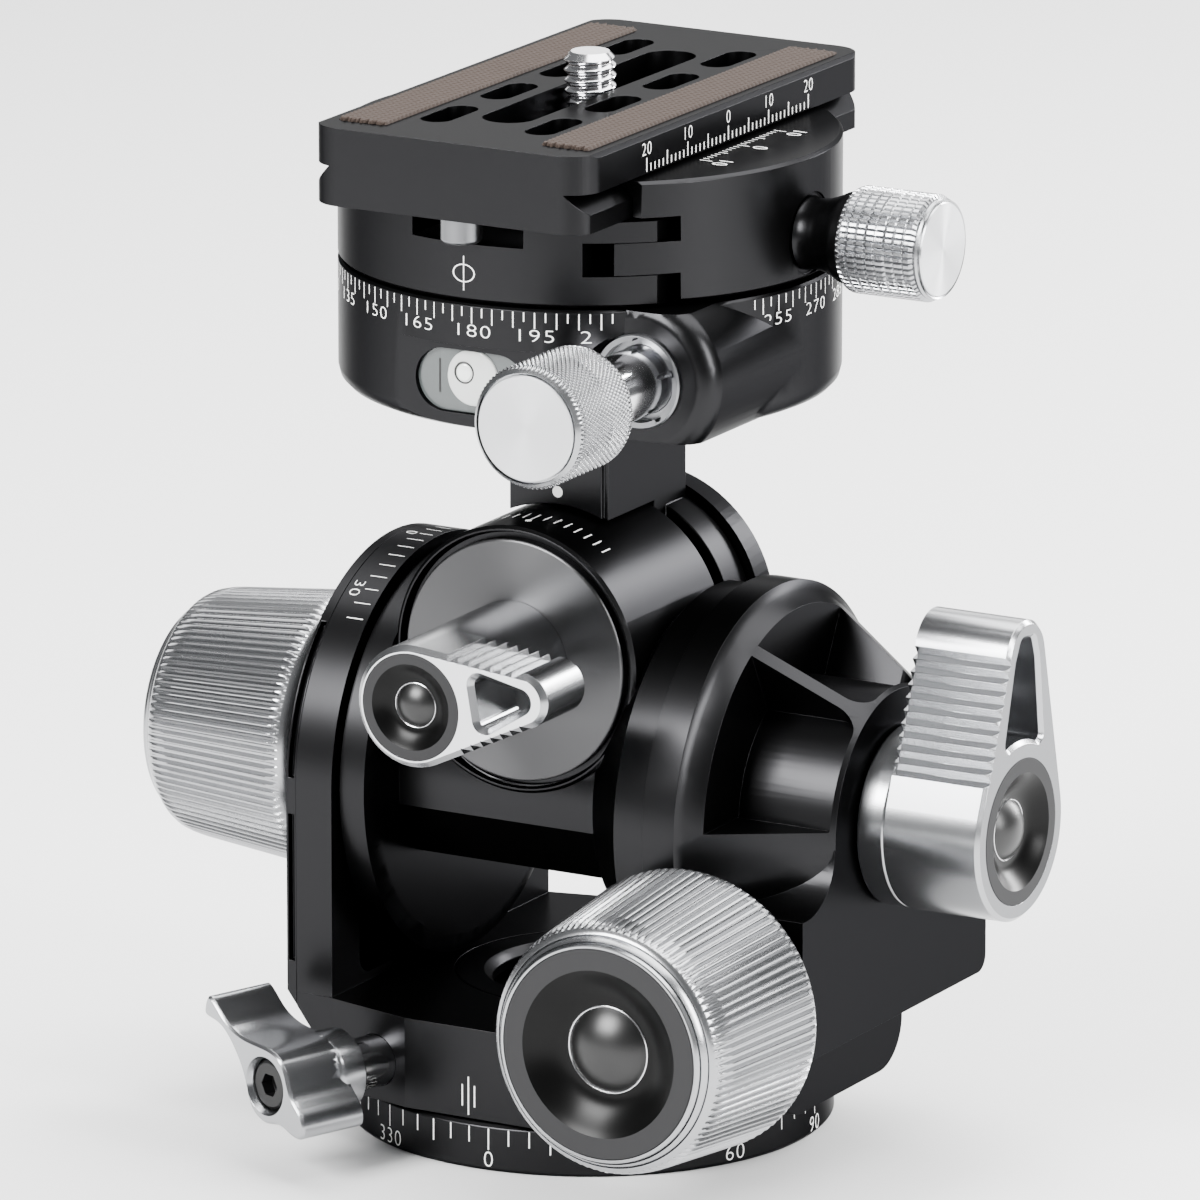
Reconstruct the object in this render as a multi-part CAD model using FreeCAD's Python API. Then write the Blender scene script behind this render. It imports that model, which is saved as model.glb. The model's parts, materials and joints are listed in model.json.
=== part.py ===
import FreeCAD, Part
import math
import os

os.makedirs("parts", exist_ok=True)

# Axes are shared by every sub-part: origin at the bottom centre of the base,
# Z up, the tilt axis along X and the roll axis along Y. Lengths are in mm.

# ---------------------------------------------------------------- fits
RUN = 0.05
SLIDE = 0.10
FLOAT = 0.10
FREE = 0.30
BEARING_GAP = 0.05

# ---------------------------------------------------------------- main axes
TILT_Z = 43.2
CENTRES = 17.8
ROLL_Z = TILT_Z + CENTRES
TILT_WORM_Z = TILT_Z - CENTRES
TILT_WORM_X = 31.6

# ---------------------------------------------------------------- gears
MODULE = 0.7
TEETH = 36
GEAR_PITCH = MODULE * math.pi
WHEEL_R = MODULE * TEETH / 2.0
WHEEL_TIP_R = WHEEL_R + MODULE
WHEEL_ROOT_R = WHEEL_R - 1.3 * MODULE
WHEEL_WIDTH = 5.0
WORM_R = CENTRES - WHEEL_R
WORM_TIP_R = WORM_R + MODULE
WORM_ROOT_R = 4.3
WORM_HALF = 7.5
LEAD_ANGLE = math.atan(GEAR_PITCH / (2 * math.pi * WORM_R))
PRESSURE = math.radians(20.0)
WHEEL_TOOTH = 1.00
WORM_TOOTH = 0.95
WORM_SHAFT_R = 4.0
WORM_TAIL_R = 3.0
WORM_TAIL_END = 14.0
BUSH_R = 6.5

# ---------------------------------------------------------------- pan base
BASE_R = 30.0
BASE_T = 6.0
EDGE = 0.5
HUB_R = 11.0
HUB_TOP = 12.6
SOCKET_R = 6.5
SOCKET_DEPTH = 9.0
SOCKET_THREAD_R = 3.97
RETAINER_R = 13.4
RETAINER_T = 1.8
AXLE_R = 3.0
AXLE_HEAD_R = 5.0
AXLE_HEAD_T = 2.6
AXLE_HEX = 5.0

# ---------------------------------------------------------------- base frame
FRAME_Z = BASE_T + FREE
FLOOR_Z = 17.6
FRAME_FRONT = BASE_R - 0.3
FRAME_FLAT_X = 9.0
FRAME_RIGHT = 22.0
FRAME_RIGHT_Y = BASE_R - 5.5
WALL_X = -26.0
WALL_IN_X = -21.0
WALL_R = BASE_R - 3.4
COUNTERBORE_R = 14.0
COUNTERBORE_Z = HUB_TOP - FLOAT
CAP_RING_R = 16.7
CAP_RING_Z = 15.0
CAP_RING_HOLE_R = 12.0
LAND_R = 16.0
TAB_X = 35.0
TAB_Y = 15.7
TAB_Z = 6.9
TAB_CORNER = 5.8
SLANT_TOP_X = -27.4
SLANT_TOP_Z = 17.7
SLANT_FOOT_X = -18.7
SLANT_FOOT_Z = 6.3
POCKET_Y0 = -20.0
POCKET_Y1 = -8.0
POCKET_Z0 = 18.7
POCKET_Z1 = 28.0
POCKET_DEEP = 4.0
COVER_X = -27.4
COVER_BORE_R = 4.6
COVER_SLOT_W = 0.8
COVER_SLOT_DEEP = 1.0
COVER_ARC_LOW = 3
COVER_ARC_HIGH = 46
COVER_SCREW_R = 1.25
COVER_SCREW_HEAD_R = 2.4
JOURNAL_R = 9.5

# ---------------------------------------------------------------- tilt gear housing
HOUSING_X = 22.0
HOUSING_END = 42.4
HOUSING_R = 26.4
HOUSING_BAND_END = 26.3
HOUSING_CONE_R = 25.2
HOUSING_CONE_X = 27.0
HOUSING_HUB_R = 15.4
HOUSING_BORE_R = 13.45
HOUSING_BORE_END = TILT_WORM_X + WHEEL_WIDTH / 2 + FREE + 0.1
TILT_SHAFT_R = 6.0
BOX_Y = 23.5
BOX_TOP = 35.3
BOX_CORNER = 2.0
FLARE_R = 7.0
FLARE_Y = 15.5
RIB_ANGLE = 28.0
RIB_HALF = 0.9
POCKET_FLOOR_R = 15.2
POCKET_X = 29.0
POCKET_LOW_Z = 44.5
POCKET_ROUND = 2.6
HOUSING_BOLT_X = 23.8
HOUSING_BOLT_Y = 11.0
HOUSING_BOLT_R = 1.4
HOUSING_BOLT_HEAD_R = 2.6
HOUSING_BOLT_TOP = 21.0

# ---------------------------------------------------------------- control knobs
KNOB_R = 17.3
KNOB_FRONT_R = 15.7
KNOB_LEN = 24.4
KNOB_BACK_BEVEL = 3.0
KNOB_FRONT_BEVEL = 3.2
TILT_KNOB_NEAR = 29.6
ROLL_KNOB_NEAR = 31.5
KNOB_INSERT_R = 12.8
KNOB_INSERT_DEEP = 2.6
KNOB_DISH_R = 10.2
KNOB_DOME_R = 5.3
FLUTES = 100
FLUTE_DEEP = 0.45
KNOB_NECK_R = 9.0
TILT_COLLAR_R = 7.0

# ---------------------------------------------------------------- tilt body
BODY_R = 18.0
FLANGE_R = 25.3
FLANGE_X0 = -20.6
FLANGE_X1 = -17.2
FLANGE_CHAMFER_R = 23.0
FLANGE_X2 = -16.5
CONE_X0 = 10.5
CONE_X1 = 17.5
BODY_END = 21.5
BEARING_END = 24.8
BEARING_NOSE_R = 11.4
WHEEL_FACE_X = TILT_WORM_X - WHEEL_WIDTH / 2
BARREL_R = 16.6
BARREL_FRONT = -18.7
BARREL_BACK = 3.4
SLOT_BACK = 12.4
REAR_R = 17.0
REAR_BACK = 15.8
CUT_FRONT_Y = -17.0
CUT_FRONT_Z = 40.5
CUT_LOW_Y = -12.0
CUT_LOW_Z = 33.2
FACE_GROOVE_R = 16.0
CAP_R = 15.0
CAP_T = 0.9
BOSS_R = 8.5
WHEEL_CAVITY_R = 13.7
WHEEL_CAVITY_Y0 = -3.0
ROLL_SHAFT_R = 4.0
ROLL_SHAFT_FRONT = -11.5
ROLL_STUD_R = 3.0

# ---------------------------------------------------------------- roll lever
ROLL_LEVER_Y0 = 34.0
ROLL_LEVER_Y1 = 43.4
ROLL_LEVER_R = 7.5
ROLL_LEVER_TIP_R = 3.4
ROLL_LEVER_REACH = 18.7
ROLL_LEVER_LIFT = 10.0
ROLL_LEVER_BEVEL = 0.7
ROLL_LEVER_INSET_R = 6.6

# ---------------------------------------------------------------- tilt lever
TILT_LEVER_X0 = 42.6
TILT_LEVER_X1 = 46.5
TILT_LEVER_X2 = 59.3
TILT_LEVER_R = 11.0
TILT_LEVER_TIP_R = 4.9
TILT_LEVER_REACH = 25.9
TILT_LEVER_LEAN = 4.0
TILT_LEVER_BEVEL = 0.5
TILT_LEVER_INSET_R = 9.0

# ---------------------------------------------------------------- pan lock wing
WING_X = -13.6
WING_Y = 1.3 - FRAME_FRONT
WING_Z = 11.3
WING_OUT = 17.4
WING_THICK = 9.2
WING_HUB_R = 5.1
WING_HUB_NEAR = 5.4
WING_SHAFT_R = 3.2
WING_TURN = -111.0
WING_SCREW_R = 3.1

# ---------------------------------------------------------------- post
ARM_R = 16.0
ARM_NOSE_R = 12.4
ARM_Y0 = 3.9
ARM_Y1 = 11.9
POST_X = 6.7
POST_FRONT = -8.0
POST_BACK = 12.0
POST_TOP = ROLL_Z + 31.0
POST_CLEAR_R = 17.0

# ---------------------------------------------------------------- panorama ring
RING_R = 30.5
RING_Z = POST_TOP
RING_TOP = RING_Z + 15.7
RING_ROUND = 2.2
FACET_Y = -28.9
LEVEL_Z = RING_Z + 5.6
LEVEL_HALF = 7.6
LEVEL_R = 3.9
LEVEL_DEEP = 8.0
VIAL_R = 3.2
VIAL_HALF = 7.1
VIAL_DEEP = 4.0
LOCK_X = 20.3
LOCK_Z = RING_Z + 7.3
LOCK_BOSS_R = 10.15
LOCK_FACE_Y = -24.3
LOCK_SPOT_R = 6.1
LOCK_COLLAR_R = 5.8
LOCK_SHAFT_R = 4.2
COLLAR_GAP = 0.75
COLLAR_GAP_DEEP = 1.6
LOCK_KNOB_R = 7.5
LOCK_KNOB_Y0 = -38.3
LOCK_KNOB_Y1 = -51.3
LOCK_FACE_R = 6.75
HUB_PIN_R = 14.0

# ---------------------------------------------------------------- clamp
CLAMP_R = 30.5
CLAMP_Z = RING_TOP + FREE
CLAMP_FLOOR = CLAMP_Z + 10.4
JAW_TOP = CLAMP_FLOOR + 4.8
LIP_Z = CLAMP_FLOOR + 0.4
JAW_X = 23.4
LIP_X = 16.4
CLAMP_FACE_X = 21.4
TONGUE_X = 17.4
TONGUE_Z0 = CLAMP_Z + 3.9
TONGUE_Z1 = CLAMP_Z + 7.8
TONGUE_SLOT_X = 14.2
NOTCH_X = 7.6
NOTCH_Z = CLAMP_Z + 7.0
NOTCH_Y = 20.0
CLAMP_AXIS_Z = CLAMP_Z + 5.6
CLAMP_KNOB_X0 = 36.6
CLAMP_KNOB_X1 = 48.2
CLAMP_KNOB_R = 6.5
CLAMP_KNOB_FACE_R = 5.8
CLAMP_NECK_R = 4.5
CLAMP_SCREW_R = 2.5
GUIDE_PIN_R = 1.5
GUIDE_PIN_Y = 13.0
GUIDE_PIN_END = 25.0
JAW_TRAVEL = 2.0

# ---------------------------------------------------------------- plate
PLATE_X = 19.0
PLATE_Y = 35.0
PLATE_Z = CLAMP_FLOOR + FREE
PLATE_LEDGE_Z = JAW_TOP + FREE
PLATE_TOP = PLATE_Z + 9.5
PLATE_CORNER = 4.0
GROOVE_X = 16.0
FOOT_X = 18.6
FOOT_Z = PLATE_Z + 2.3
PAD_X0 = 10.6
PAD_X1 = 17.2
PAD_Y = 31.0
PAD_PROUD = 0.4
PAD_SEAT = 0.4
SLOT_X = 7.15
SLOT_Y_NEAR = 7.15
SLOT_Y_FAR = 21.45
SLOT_LEN = 9.8
SLOT_W = 4.0
MAIN_SLOT_HALF = 22.7
MAIN_SLOT_W = 6.6
CARRIER_SLOT_W = 12.0
CARRIER_Z0 = PLATE_Z + 1.7
CARRIER_Z1 = PLATE_Z + 5.3
CARRIER_CORNER = 1.5
PIN_Y = 31.0
PIN_R = 2.5
PIN_Z = PLATE_Z - 3.4
SCREW_R = 3.175
SCREW_TOP = PLATE_TOP + 4.4
SCREW_NECK_R = 2.6
SCREW_THREAD_Z = PLATE_TOP + 0.2
SCREW_HEAD_R = 5.2


def vec(x, y, z):
    return FreeCAD.Vector(x, y, z)


SIDES = {
    "up": FreeCAD.Rotation(),
    "down": FreeCAD.Rotation(vec(1, 0, 0), vec(0, -1, 0), vec(0, 0, -1), "ZXY"),
    "right": FreeCAD.Rotation(vec(0, 1, 0), vec(0, 0, 1), vec(1, 0, 0), "ZXY"),
    "left": FreeCAD.Rotation(vec(0, -1, 0), vec(0, 0, 1), vec(-1, 0, 0), "ZXY"),
    "front": FreeCAD.Rotation(vec(1, 0, 0), vec(0, 0, 1), vec(0, -1, 0), "ZXY"),
    "rear": FreeCAD.Rotation(vec(-1, 0, 0), vec(0, 0, 1), vec(0, 1, 0), "ZXY"),
}


def seat(shape, origin, side):
    """Stand a shape built along its own Z on origin, pointing out of one side."""
    placed = shape.copy()
    spot = FreeCAD.Placement(origin, SIDES[side])
    placed.Placement = spot.multiply(placed.Placement)
    return placed


def rod(radius, z0, z1):
    return Part.makeCylinder(radius, z1 - z0, vec(0, 0, z0))


def block(x0, x1, y0, y1, z0, z1):
    return Part.makeBox(x1 - x0, y1 - y0, z1 - z0, vec(x0, y0, z0))


def turned(profile):
    """Turn a closed outline of (radius, height) pairs about Z."""
    points = [vec(r, 0, z) for r, z in profile]
    face = Part.Face(Part.makePolygon(points + [points[0]]))
    return face.revolve(vec(0, 0, 0), vec(0, 0, 1), 360)


def prism(points, z0, z1):
    """Raise a closed outline of (u, v) pairs along Z."""
    corners = [vec(u, v, z0) for u, v in points]
    face = Part.Face(Part.makePolygon(corners + [corners[0]]))
    return face.extrude(vec(0, 0, z1 - z0))


def join(first, *others):
    """Fuse shapes and merge the faces that line up."""
    return first.fuse(list(others)).removeSplitter()


def obround(half, radius, z0, z1):
    """A slot-shaped column, half long each way along its own X."""
    flat = half - radius
    ends = [rod(radius, z0, z1).translated(vec(s * flat, 0, 0)) for s in (-1, 1)]
    return join(block(-flat, flat, -radius, radius, z0, z1), *ends)


def hex_hole(across, z0, z1):
    r = across / math.sqrt(3.0)
    turns = [math.radians(60 * i) for i in range(6)]
    return prism([(r * math.cos(t), r * math.sin(t)) for t in turns], z0, z1)


def circle_points(cx, cy, radius, start, end, count):
    """Points along an arc, angles in degrees, both ends kept."""
    turns = [start + (end - start) * i / (count - 1) for i in range(count)]
    return [(cx + radius * math.cos(math.radians(t)),
             cy + radius * math.sin(math.radians(t))) for t in turns]


# ---------------------------------------------------------------- gears
def worm_thread():
    """Threaded core, right-hand, with the thread at axial 0 on the side facing +Y."""
    turns = 2 * math.ceil(WORM_HALF / GEAR_PITCH) + 0.5
    height = turns * GEAR_PITCH
    helix = Part.makeHelix(GEAR_PITCH, height, WORM_R)
    inner = WORM_ROOT_R - 0.15
    slope = math.tan(PRESSURE)
    wide = WORM_TOOTH / 2 + (WORM_R - inner) * slope
    narrow = WORM_TOOTH / 2 - MODULE * slope
    corners = [vec(inner, 0, -wide), vec(WORM_TIP_R, 0, -narrow),
               vec(WORM_TIP_R, 0, narrow), vec(inner, 0, wide)]
    outline = Part.makePolygon(corners + [corners[0]])
    sweep = Part.Wire(helix).makePipeShell([outline], True, True)
    sweep.translate(vec(0, 0, -height / 2))
    core = rod(WORM_ROOT_R, -height, height)
    return core.fuse(sweep).common(rod(WORM_TIP_R + 1, -WORM_HALF, WORM_HALF))


def worm(shaft_end):
    """Worm with its knob shaft along -Z and its tail along +Z."""
    shaft = rod(WORM_SHAFT_R, -shaft_end, -WORM_HALF)
    tail = rod(WORM_TAIL_R, WORM_HALF, WORM_TAIL_END)
    return worm_thread().fuse([shaft, tail])


def tooth_half_angle(radius):
    """Half the angle that one involute tooth fills at a radius."""
    base = WHEEL_R * math.cos(PRESSURE)
    lean = math.acos(min(1.0, base / max(radius, base)))
    return WHEEL_TOOTH / (2 * WHEEL_R) + (math.tan(PRESSURE) - PRESSURE) - (math.tan(lean) - lean)


def wheel_wire(z, twist):
    """Outline of the toothed rim at one height, with a gap facing -Y at rest."""
    step = 2 * math.pi / TEETH
    flank = [WHEEL_ROOT_R, WHEEL_R, WHEEL_TIP_R]
    points = []
    for i in range(TEETH):
        mid = (i + 0.5) * step + twist
        side = [(r, mid - tooth_half_angle(r)) for r in flank]
        side += [(r, mid + tooth_half_angle(r)) for r in reversed(flank)]
        points += [vec(r * math.cos(t), r * math.sin(t), z) for r, t in side]
    return Part.makePolygon(points + [points[0]])


def wheel_rim():
    """Toothed disc whose teeth lean by the lead angle of the worm."""
    half = WHEEL_WIDTH / 2
    twist = half * math.tan(LEAD_ANGLE) / WHEEL_R
    return Part.makeLoft([wheel_wire(-half, -twist), wheel_wire(half, twist)], True, True)


# ---------------------------------------------------------------- pan base
def pan_base_disc():
    return turned([
        (SOCKET_R, 0), (BASE_R - EDGE, 0), (BASE_R, EDGE), (BASE_R, BASE_T - EDGE),
        (BASE_R - EDGE, BASE_T), (HUB_R, BASE_T), (HUB_R, HUB_TOP), (AXLE_R, HUB_TOP),
        (AXLE_R, SOCKET_DEPTH), (SOCKET_R, SOCKET_DEPTH)])


def base_socket_insert():
    return turned([(SOCKET_THREAD_R, 0), (SOCKET_R, 0), (SOCKET_R, SOCKET_DEPTH),
                   (SOCKET_THREAD_R, SOCKET_DEPTH)])


def pan_retainer():
    top = HUB_TOP + RETAINER_T
    return turned([
        (AXLE_R, HUB_TOP), (RETAINER_R, HUB_TOP), (RETAINER_R, top - EDGE),
        (RETAINER_R - EDGE, top), (AXLE_R, top)])


def axle_bolt():
    low = HUB_TOP + RETAINER_T
    top = low + AXLE_HEAD_T
    body = turned([
        (0, SOCKET_DEPTH + FREE), (AXLE_R, SOCKET_DEPTH + FREE), (AXLE_R, low),
        (AXLE_HEAD_R, low), (AXLE_HEAD_R, top - EDGE), (AXLE_HEAD_R - EDGE, top), (0, top)])
    return body.cut(hex_hole(AXLE_HEX, top - 1.7, top + 1))


# ---------------------------------------------------------------- base frame
def frame_plan():
    """Half outline of the floor, mirrored front to back."""
    front = [
        (WALL_X, -WALL_R), (WALL_IN_X, -WALL_R - 0.2), (-FRAME_FLAT_X, -FRAME_FRONT),
        (FRAME_FLAT_X, -FRAME_FRONT), (FRAME_RIGHT, -FRAME_RIGHT_Y)]
    return front + [(x, -y) for x, y in reversed(front)]


def slant_cutter():
    """Wedge that takes the lower left edge off the frame and its cover."""
    rise = (SLANT_TOP_Z - SLANT_FOOT_Z) / (SLANT_FOOT_X - SLANT_TOP_X)
    low = SLANT_FOOT_Z - 2
    high = SLANT_TOP_Z + 2
    points = [
        (SLANT_FOOT_X + 2 / rise, low), (SLANT_TOP_X - 2 / rise, high),
        (SLANT_TOP_X - 6, high), (SLANT_TOP_X - 6, low)]
    return seat(prism(points, -BASE_R - 5, BASE_R + 5), vec(0, 0, 0), "front")


def wall_plate(x0, x1):
    """Upright plate with a round head about the tilt axis."""
    foot = block(x0, x1, -WALL_R, WALL_R, FRAME_Z, TILT_Z)
    head = seat(rod(WALL_R, x0, x1), vec(0, 0, TILT_Z), "right")
    return join(foot, head)


def frame_tab():
    """Foot of the gear housing that hangs past the right side of the disc."""
    box = block(FRAME_RIGHT - 4, TAB_X, -TAB_Y, TAB_Y, TAB_Z, FLOOR_Z)
    low = [e for e in box.Edges
           if abs(e.BoundBox.ZMax - TAB_Z) < 0.01 and e.BoundBox.XLength > 5]
    return box.makeFillet(TAB_CORNER, low)


def frame_land():
    return turned([
        (HUB_R, BASE_T + BEARING_GAP), (LAND_R, BASE_T + BEARING_GAP),
        (LAND_R, FRAME_Z + 1), (HUB_R, FRAME_Z + 1)])


def wall_pocket():
    box = block(WALL_IN_X - POCKET_DEEP, WALL_IN_X + 1, POCKET_Y0, POCKET_Y1, POCKET_Z0, POCKET_Z1)
    long = [e for e in box.Edges if e.BoundBox.XLength > 1]
    return box.makeFillet(2.5, long)


def cover_screw_spots():
    """Where the four cover screws go in, as (y, z)."""
    up = 0.7071 * (WALL_R - 4.0)
    return [(s * up, TILT_Z + up) for s in (-1, 1)] + [(s * (WALL_R - 4.1), 23.0) for s in (-1, 1)]


def housing_bolt_spots():
    return [vec(HOUSING_BOLT_X, s * HOUSING_BOLT_Y, 0) for s in (-1, 1)]


def base_frame():
    floor = prism(frame_plan(), FRAME_Z, FLOOR_Z)
    solid = join(floor, wall_plate(WALL_X, WALL_IN_X), frame_tab(), frame_land())
    hub_gap = rod(HUB_R + RUN, 0, FLOOR_Z + 1)
    counter = rod(COUNTERBORE_R, COUNTERBORE_Z, FLOOR_Z + 1)
    ring_seat = rod(CAP_RING_R, CAP_RING_Z, FLOOR_Z + 1)
    pivot = seat(rod(JOURNAL_R + RUN, WALL_X - 1, WALL_IN_X + 1), vec(0, 0, TILT_Z), "right")
    cuts = [slant_cutter(), hub_gap, counter, ring_seat, pivot, wall_pocket(), wing_bore()]
    for y, z in cover_screw_spots():
        cuts.append(seat(rod(COVER_SCREW_R, -2, 3.5), vec(WALL_X, y, z), "right"))
    for spot in housing_bolt_spots():
        cuts.append(rod(HOUSING_BOLT_R, 0, FLOOR_Z + 1).translated(spot))
        cuts.append(rod(HOUSING_BOLT_HEAD_R + RUN, 0, TAB_Z + 3.0).translated(spot))
    return solid.cut(cuts).removeSplitter()


def axle_cap():
    """Ring let into the floor around the pan axle, with one fine groove."""
    top = FLOOR_Z
    lip = 1.0
    return turned([
        (CAP_RING_HOLE_R + lip, CAP_RING_Z), (CAP_RING_R, CAP_RING_Z), (CAP_RING_R, top - 0.3),
        (CAP_RING_R - 0.3, top), (CAP_RING_HOLE_R + lip, top), (CAP_RING_HOLE_R, top - lip),
        (CAP_RING_HOLE_R, CAP_RING_Z + 0.4)])


def shoulder_groove(mid):
    """Thin groove round one rounded shoulder of the upright, as a cutting tool."""
    half = COVER_SLOT_W / 2
    inside = rod(WALL_R - COVER_SLOT_DEEP, mid - half, mid + half)
    band = rod(WALL_R + COVER_SLOT_DEEP, mid - half, mid + half).cut(inside)
    fan = circle_points(0, 0, 2 * WALL_R, COVER_ARC_LOW, COVER_ARC_HIGH, 2)
    return seat(band.common(prism([(0, 0)] + fan, COVER_X, WALL_X)), vec(0, 0, TILT_Z), "right")


def side_cover():
    plate = wall_plate(COVER_X, WALL_X)
    mid = (COVER_X + WALL_X) / 2
    hole = seat(rod(COVER_BORE_R, COVER_X - 1, WALL_X + 1), vec(0, 0, TILT_Z), "right")
    cuts = [slant_cutter(), hole]
    half = COVER_SLOT_W / 2
    for side in (-1, 1):
        cuts.append(block(mid - half, mid + half, side * WALL_R - COVER_SLOT_DEEP,
                          side * WALL_R + COVER_SLOT_DEEP, 21.5, 40.0))
    groove = shoulder_groove(mid)
    cuts += [groove, groove.mirror(vec(0, 0, 0), vec(0, 1, 0))]
    for y, z in cover_screw_spots():
        cone = turned([(0, -0.5), (COVER_SCREW_HEAD_R + RUN + 0.5, -0.5),
                       (COVER_SCREW_R, 1.2), (COVER_SCREW_R, 3), (0, 3)])
        cuts.append(seat(cone, vec(COVER_X, y, z), "right"))
    return plate.cut(cuts)


def cover_screws():
    screws = []
    for y, z in cover_screw_spots():
        screw = turned([
            (0, 0.1), (COVER_SCREW_HEAD_R - 0.15, 0.1), (COVER_SCREW_R - 0.05, 1.2),
            (COVER_SCREW_R - 0.05, 4.5), (0, 4.5)])
        screw = screw.cut(hex_hole(1.6, -1, 0.9))
        screws.append(seat(screw, vec(COVER_X, y, z), "right"))
    return Part.makeCompound(screws)


# ---------------------------------------------------------------- tilt gear housing
def housing_hub():
    """Turned part of the housing: band, bevel and long cone."""
    profile = [
        (0, HOUSING_X), (HOUSING_R, HOUSING_X), (HOUSING_R, HOUSING_BAND_END),
        (HOUSING_CONE_R, HOUSING_CONE_X), (HOUSING_HUB_R, HOUSING_END), (0, HOUSING_END)]
    return seat(turned(profile), vec(0, 0, TILT_Z), "right")


def housing_box():
    box = block(HOUSING_X, HOUSING_END, -BOX_Y, BOX_Y, FLOOR_Z, BOX_TOP)
    low = [e for e in box.Edges
           if abs(e.BoundBox.ZMax - FLOOR_Z) < 0.01 and e.BoundBox.XLength > 5]
    return box.makeFillet(BOX_CORNER, low)


def housing_flare(side):
    """Hollow-sided fillet where the round hub runs out into the box."""
    cy = FLARE_Y + FLARE_R
    arc = circle_points(cy, BOX_TOP + FLARE_R, FLARE_R, 180, 270, 13)
    points = [(0, BOX_TOP - 2), (0, BOX_TOP + FLARE_R)] + arc + [(cy, BOX_TOP - 2)]
    points = [(side * y, z) for y, z in points]
    return seat(prism(points, HOUSING_X, HOUSING_END), vec(0, 0, 0), "right")


def housing_pocket(start, end):
    """Space between two ribs; angles are measured from up towards the rear."""
    r = HOUSING_R + 5
    points = [(0, 0)]
    for i in range(9):
        t = math.radians(start + (end - start) * i / 8.0)
        points.append((r * math.sin(t), r * math.cos(t)))
    wedge = prism(points, POCKET_X, HOUSING_END - 0.6)
    inset = RIB_HALF / math.sin(math.radians((end - start) / 2.0))
    mid = math.radians((start + end) / 2.0)
    wedge.translate(vec(inset * math.sin(mid), inset * math.cos(mid), 0))
    wedge = wedge.cut(rod(POCKET_FLOOR_R, POCKET_X - 1, HOUSING_END + 1))
    return seat(round_pocket(wedge), vec(0, 0, TILT_Z), "right")


def round_pocket(wedge):
    """Round the corners of a rib pocket where its sides meet the hub end."""
    end = HOUSING_END - 0.6
    radial = [e for e in wedge.Edges
              if abs(e.BoundBox.ZMin - end) < 0.001 and abs(e.BoundBox.ZMax - end) < 0.001
              and e.Curve.TypeId == "Part::GeomLine" and e.Length > 8]
    return wedge.makeFillet(POCKET_ROUND, radial)


def housing_pockets():
    top = housing_pocket(-RIB_ANGLE, RIB_ANGLE)
    above = block(POCKET_X - 1, HOUSING_END + 1, -40, 40, POCKET_LOW_Z, 100)
    front = housing_pocket(-95, -RIB_ANGLE).common(above)
    rear = housing_pocket(RIB_ANGLE, 95).common(above)
    return [top, front, rear]


def tilt_gear_housing():
    solid = join(housing_hub(), housing_box(), housing_flare(-1), housing_flare(1))
    cuts = housing_pockets()
    cuts.append(block(HOUSING_X - 1, HOUSING_END + 1, -40, 40, 0, FLOOR_Z))
    axis = vec(0, 0, TILT_Z)
    cuts.append(seat(rod(HOUSING_BORE_R, HOUSING_X - 1, HOUSING_BORE_END), axis, "right"))
    cuts.append(seat(rod(TILT_SHAFT_R + RUN, HOUSING_X, HOUSING_END + 1), axis, "right"))
    worm_axis = vec(TILT_WORM_X, 0, TILT_WORM_Z)
    cuts.append(seat(rod(BUSH_R, -BOX_Y - 1, WORM_HALF + FLOAT), worm_axis, "rear"))
    cuts.append(seat(rod(WORM_TAIL_R + RUN, 0, WORM_TAIL_END + FREE), worm_axis, "rear"))
    for spot in housing_bolt_spots():
        cuts.append(rod(HOUSING_BOLT_R, 0, HOUSING_BOLT_TOP).translated(spot))
    return solid.cut(cuts)


def housing_bolts():
    bolts = []
    for spot in housing_bolt_spots():
        head = rod(HOUSING_BOLT_HEAD_R, TAB_Z + 0.4, TAB_Z + 3.0)
        head = head.cut(hex_hole(2.5, TAB_Z, TAB_Z + 1.8))
        bolt = join(head, rod(HOUSING_BOLT_R, TAB_Z + 2.5, HOUSING_BOLT_TOP - 0.2))
        bolts.append(bolt.translated(spot))
    return Part.makeCompound(bolts)


def worm_bush(near, far, collar_r):
    """Plain bearing of a worm shaft, near and far measured along -Z."""
    end = WORM_HALF + FLOAT
    inner = WORM_SHAFT_R + RUN
    if collar_r > 0:
        profile = [(inner, -far), (collar_r, -far), (collar_r, -near), (BUSH_R, -near),
                   (BUSH_R, -end), (inner, -end)]
    else:
        profile = [(inner, -near), (BUSH_R, -near), (BUSH_R, -end), (inner, -end)]
    return turned(profile)


def tilt_bush():
    shape = worm_bush(BOX_Y, TILT_KNOB_NEAR - 0.4, TILT_COLLAR_R)
    return seat(shape, vec(TILT_WORM_X, 0, TILT_WORM_Z), "rear")


def roll_bush():
    shape = worm_bush(-FLANGE_X0 - 0.6, 0, 0)
    return seat(shape, vec(0, 0, TILT_Z), "right")


# ---------------------------------------------------------------- control knobs
def flute_wire(z):
    """Fluted outline of a knob at one height; it narrows evenly towards the face."""
    run = KNOB_LEN - KNOB_BACK_BEVEL - KNOB_FRONT_BEVEL
    outer = KNOB_R - (KNOB_R - KNOB_FRONT_R) * (z - KNOB_BACK_BEVEL) / run
    step = 2 * math.pi / FLUTES
    points = []
    for i in range(FLUTES):
        for turn, r in ((-0.22, outer), (0.22, outer), (0.5, outer - FLUTE_DEEP)):
            t = (i + turn) * step
            points.append(vec(r * math.cos(t), r * math.sin(t), z))
    return Part.makePolygon(points + [points[0]])


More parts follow.
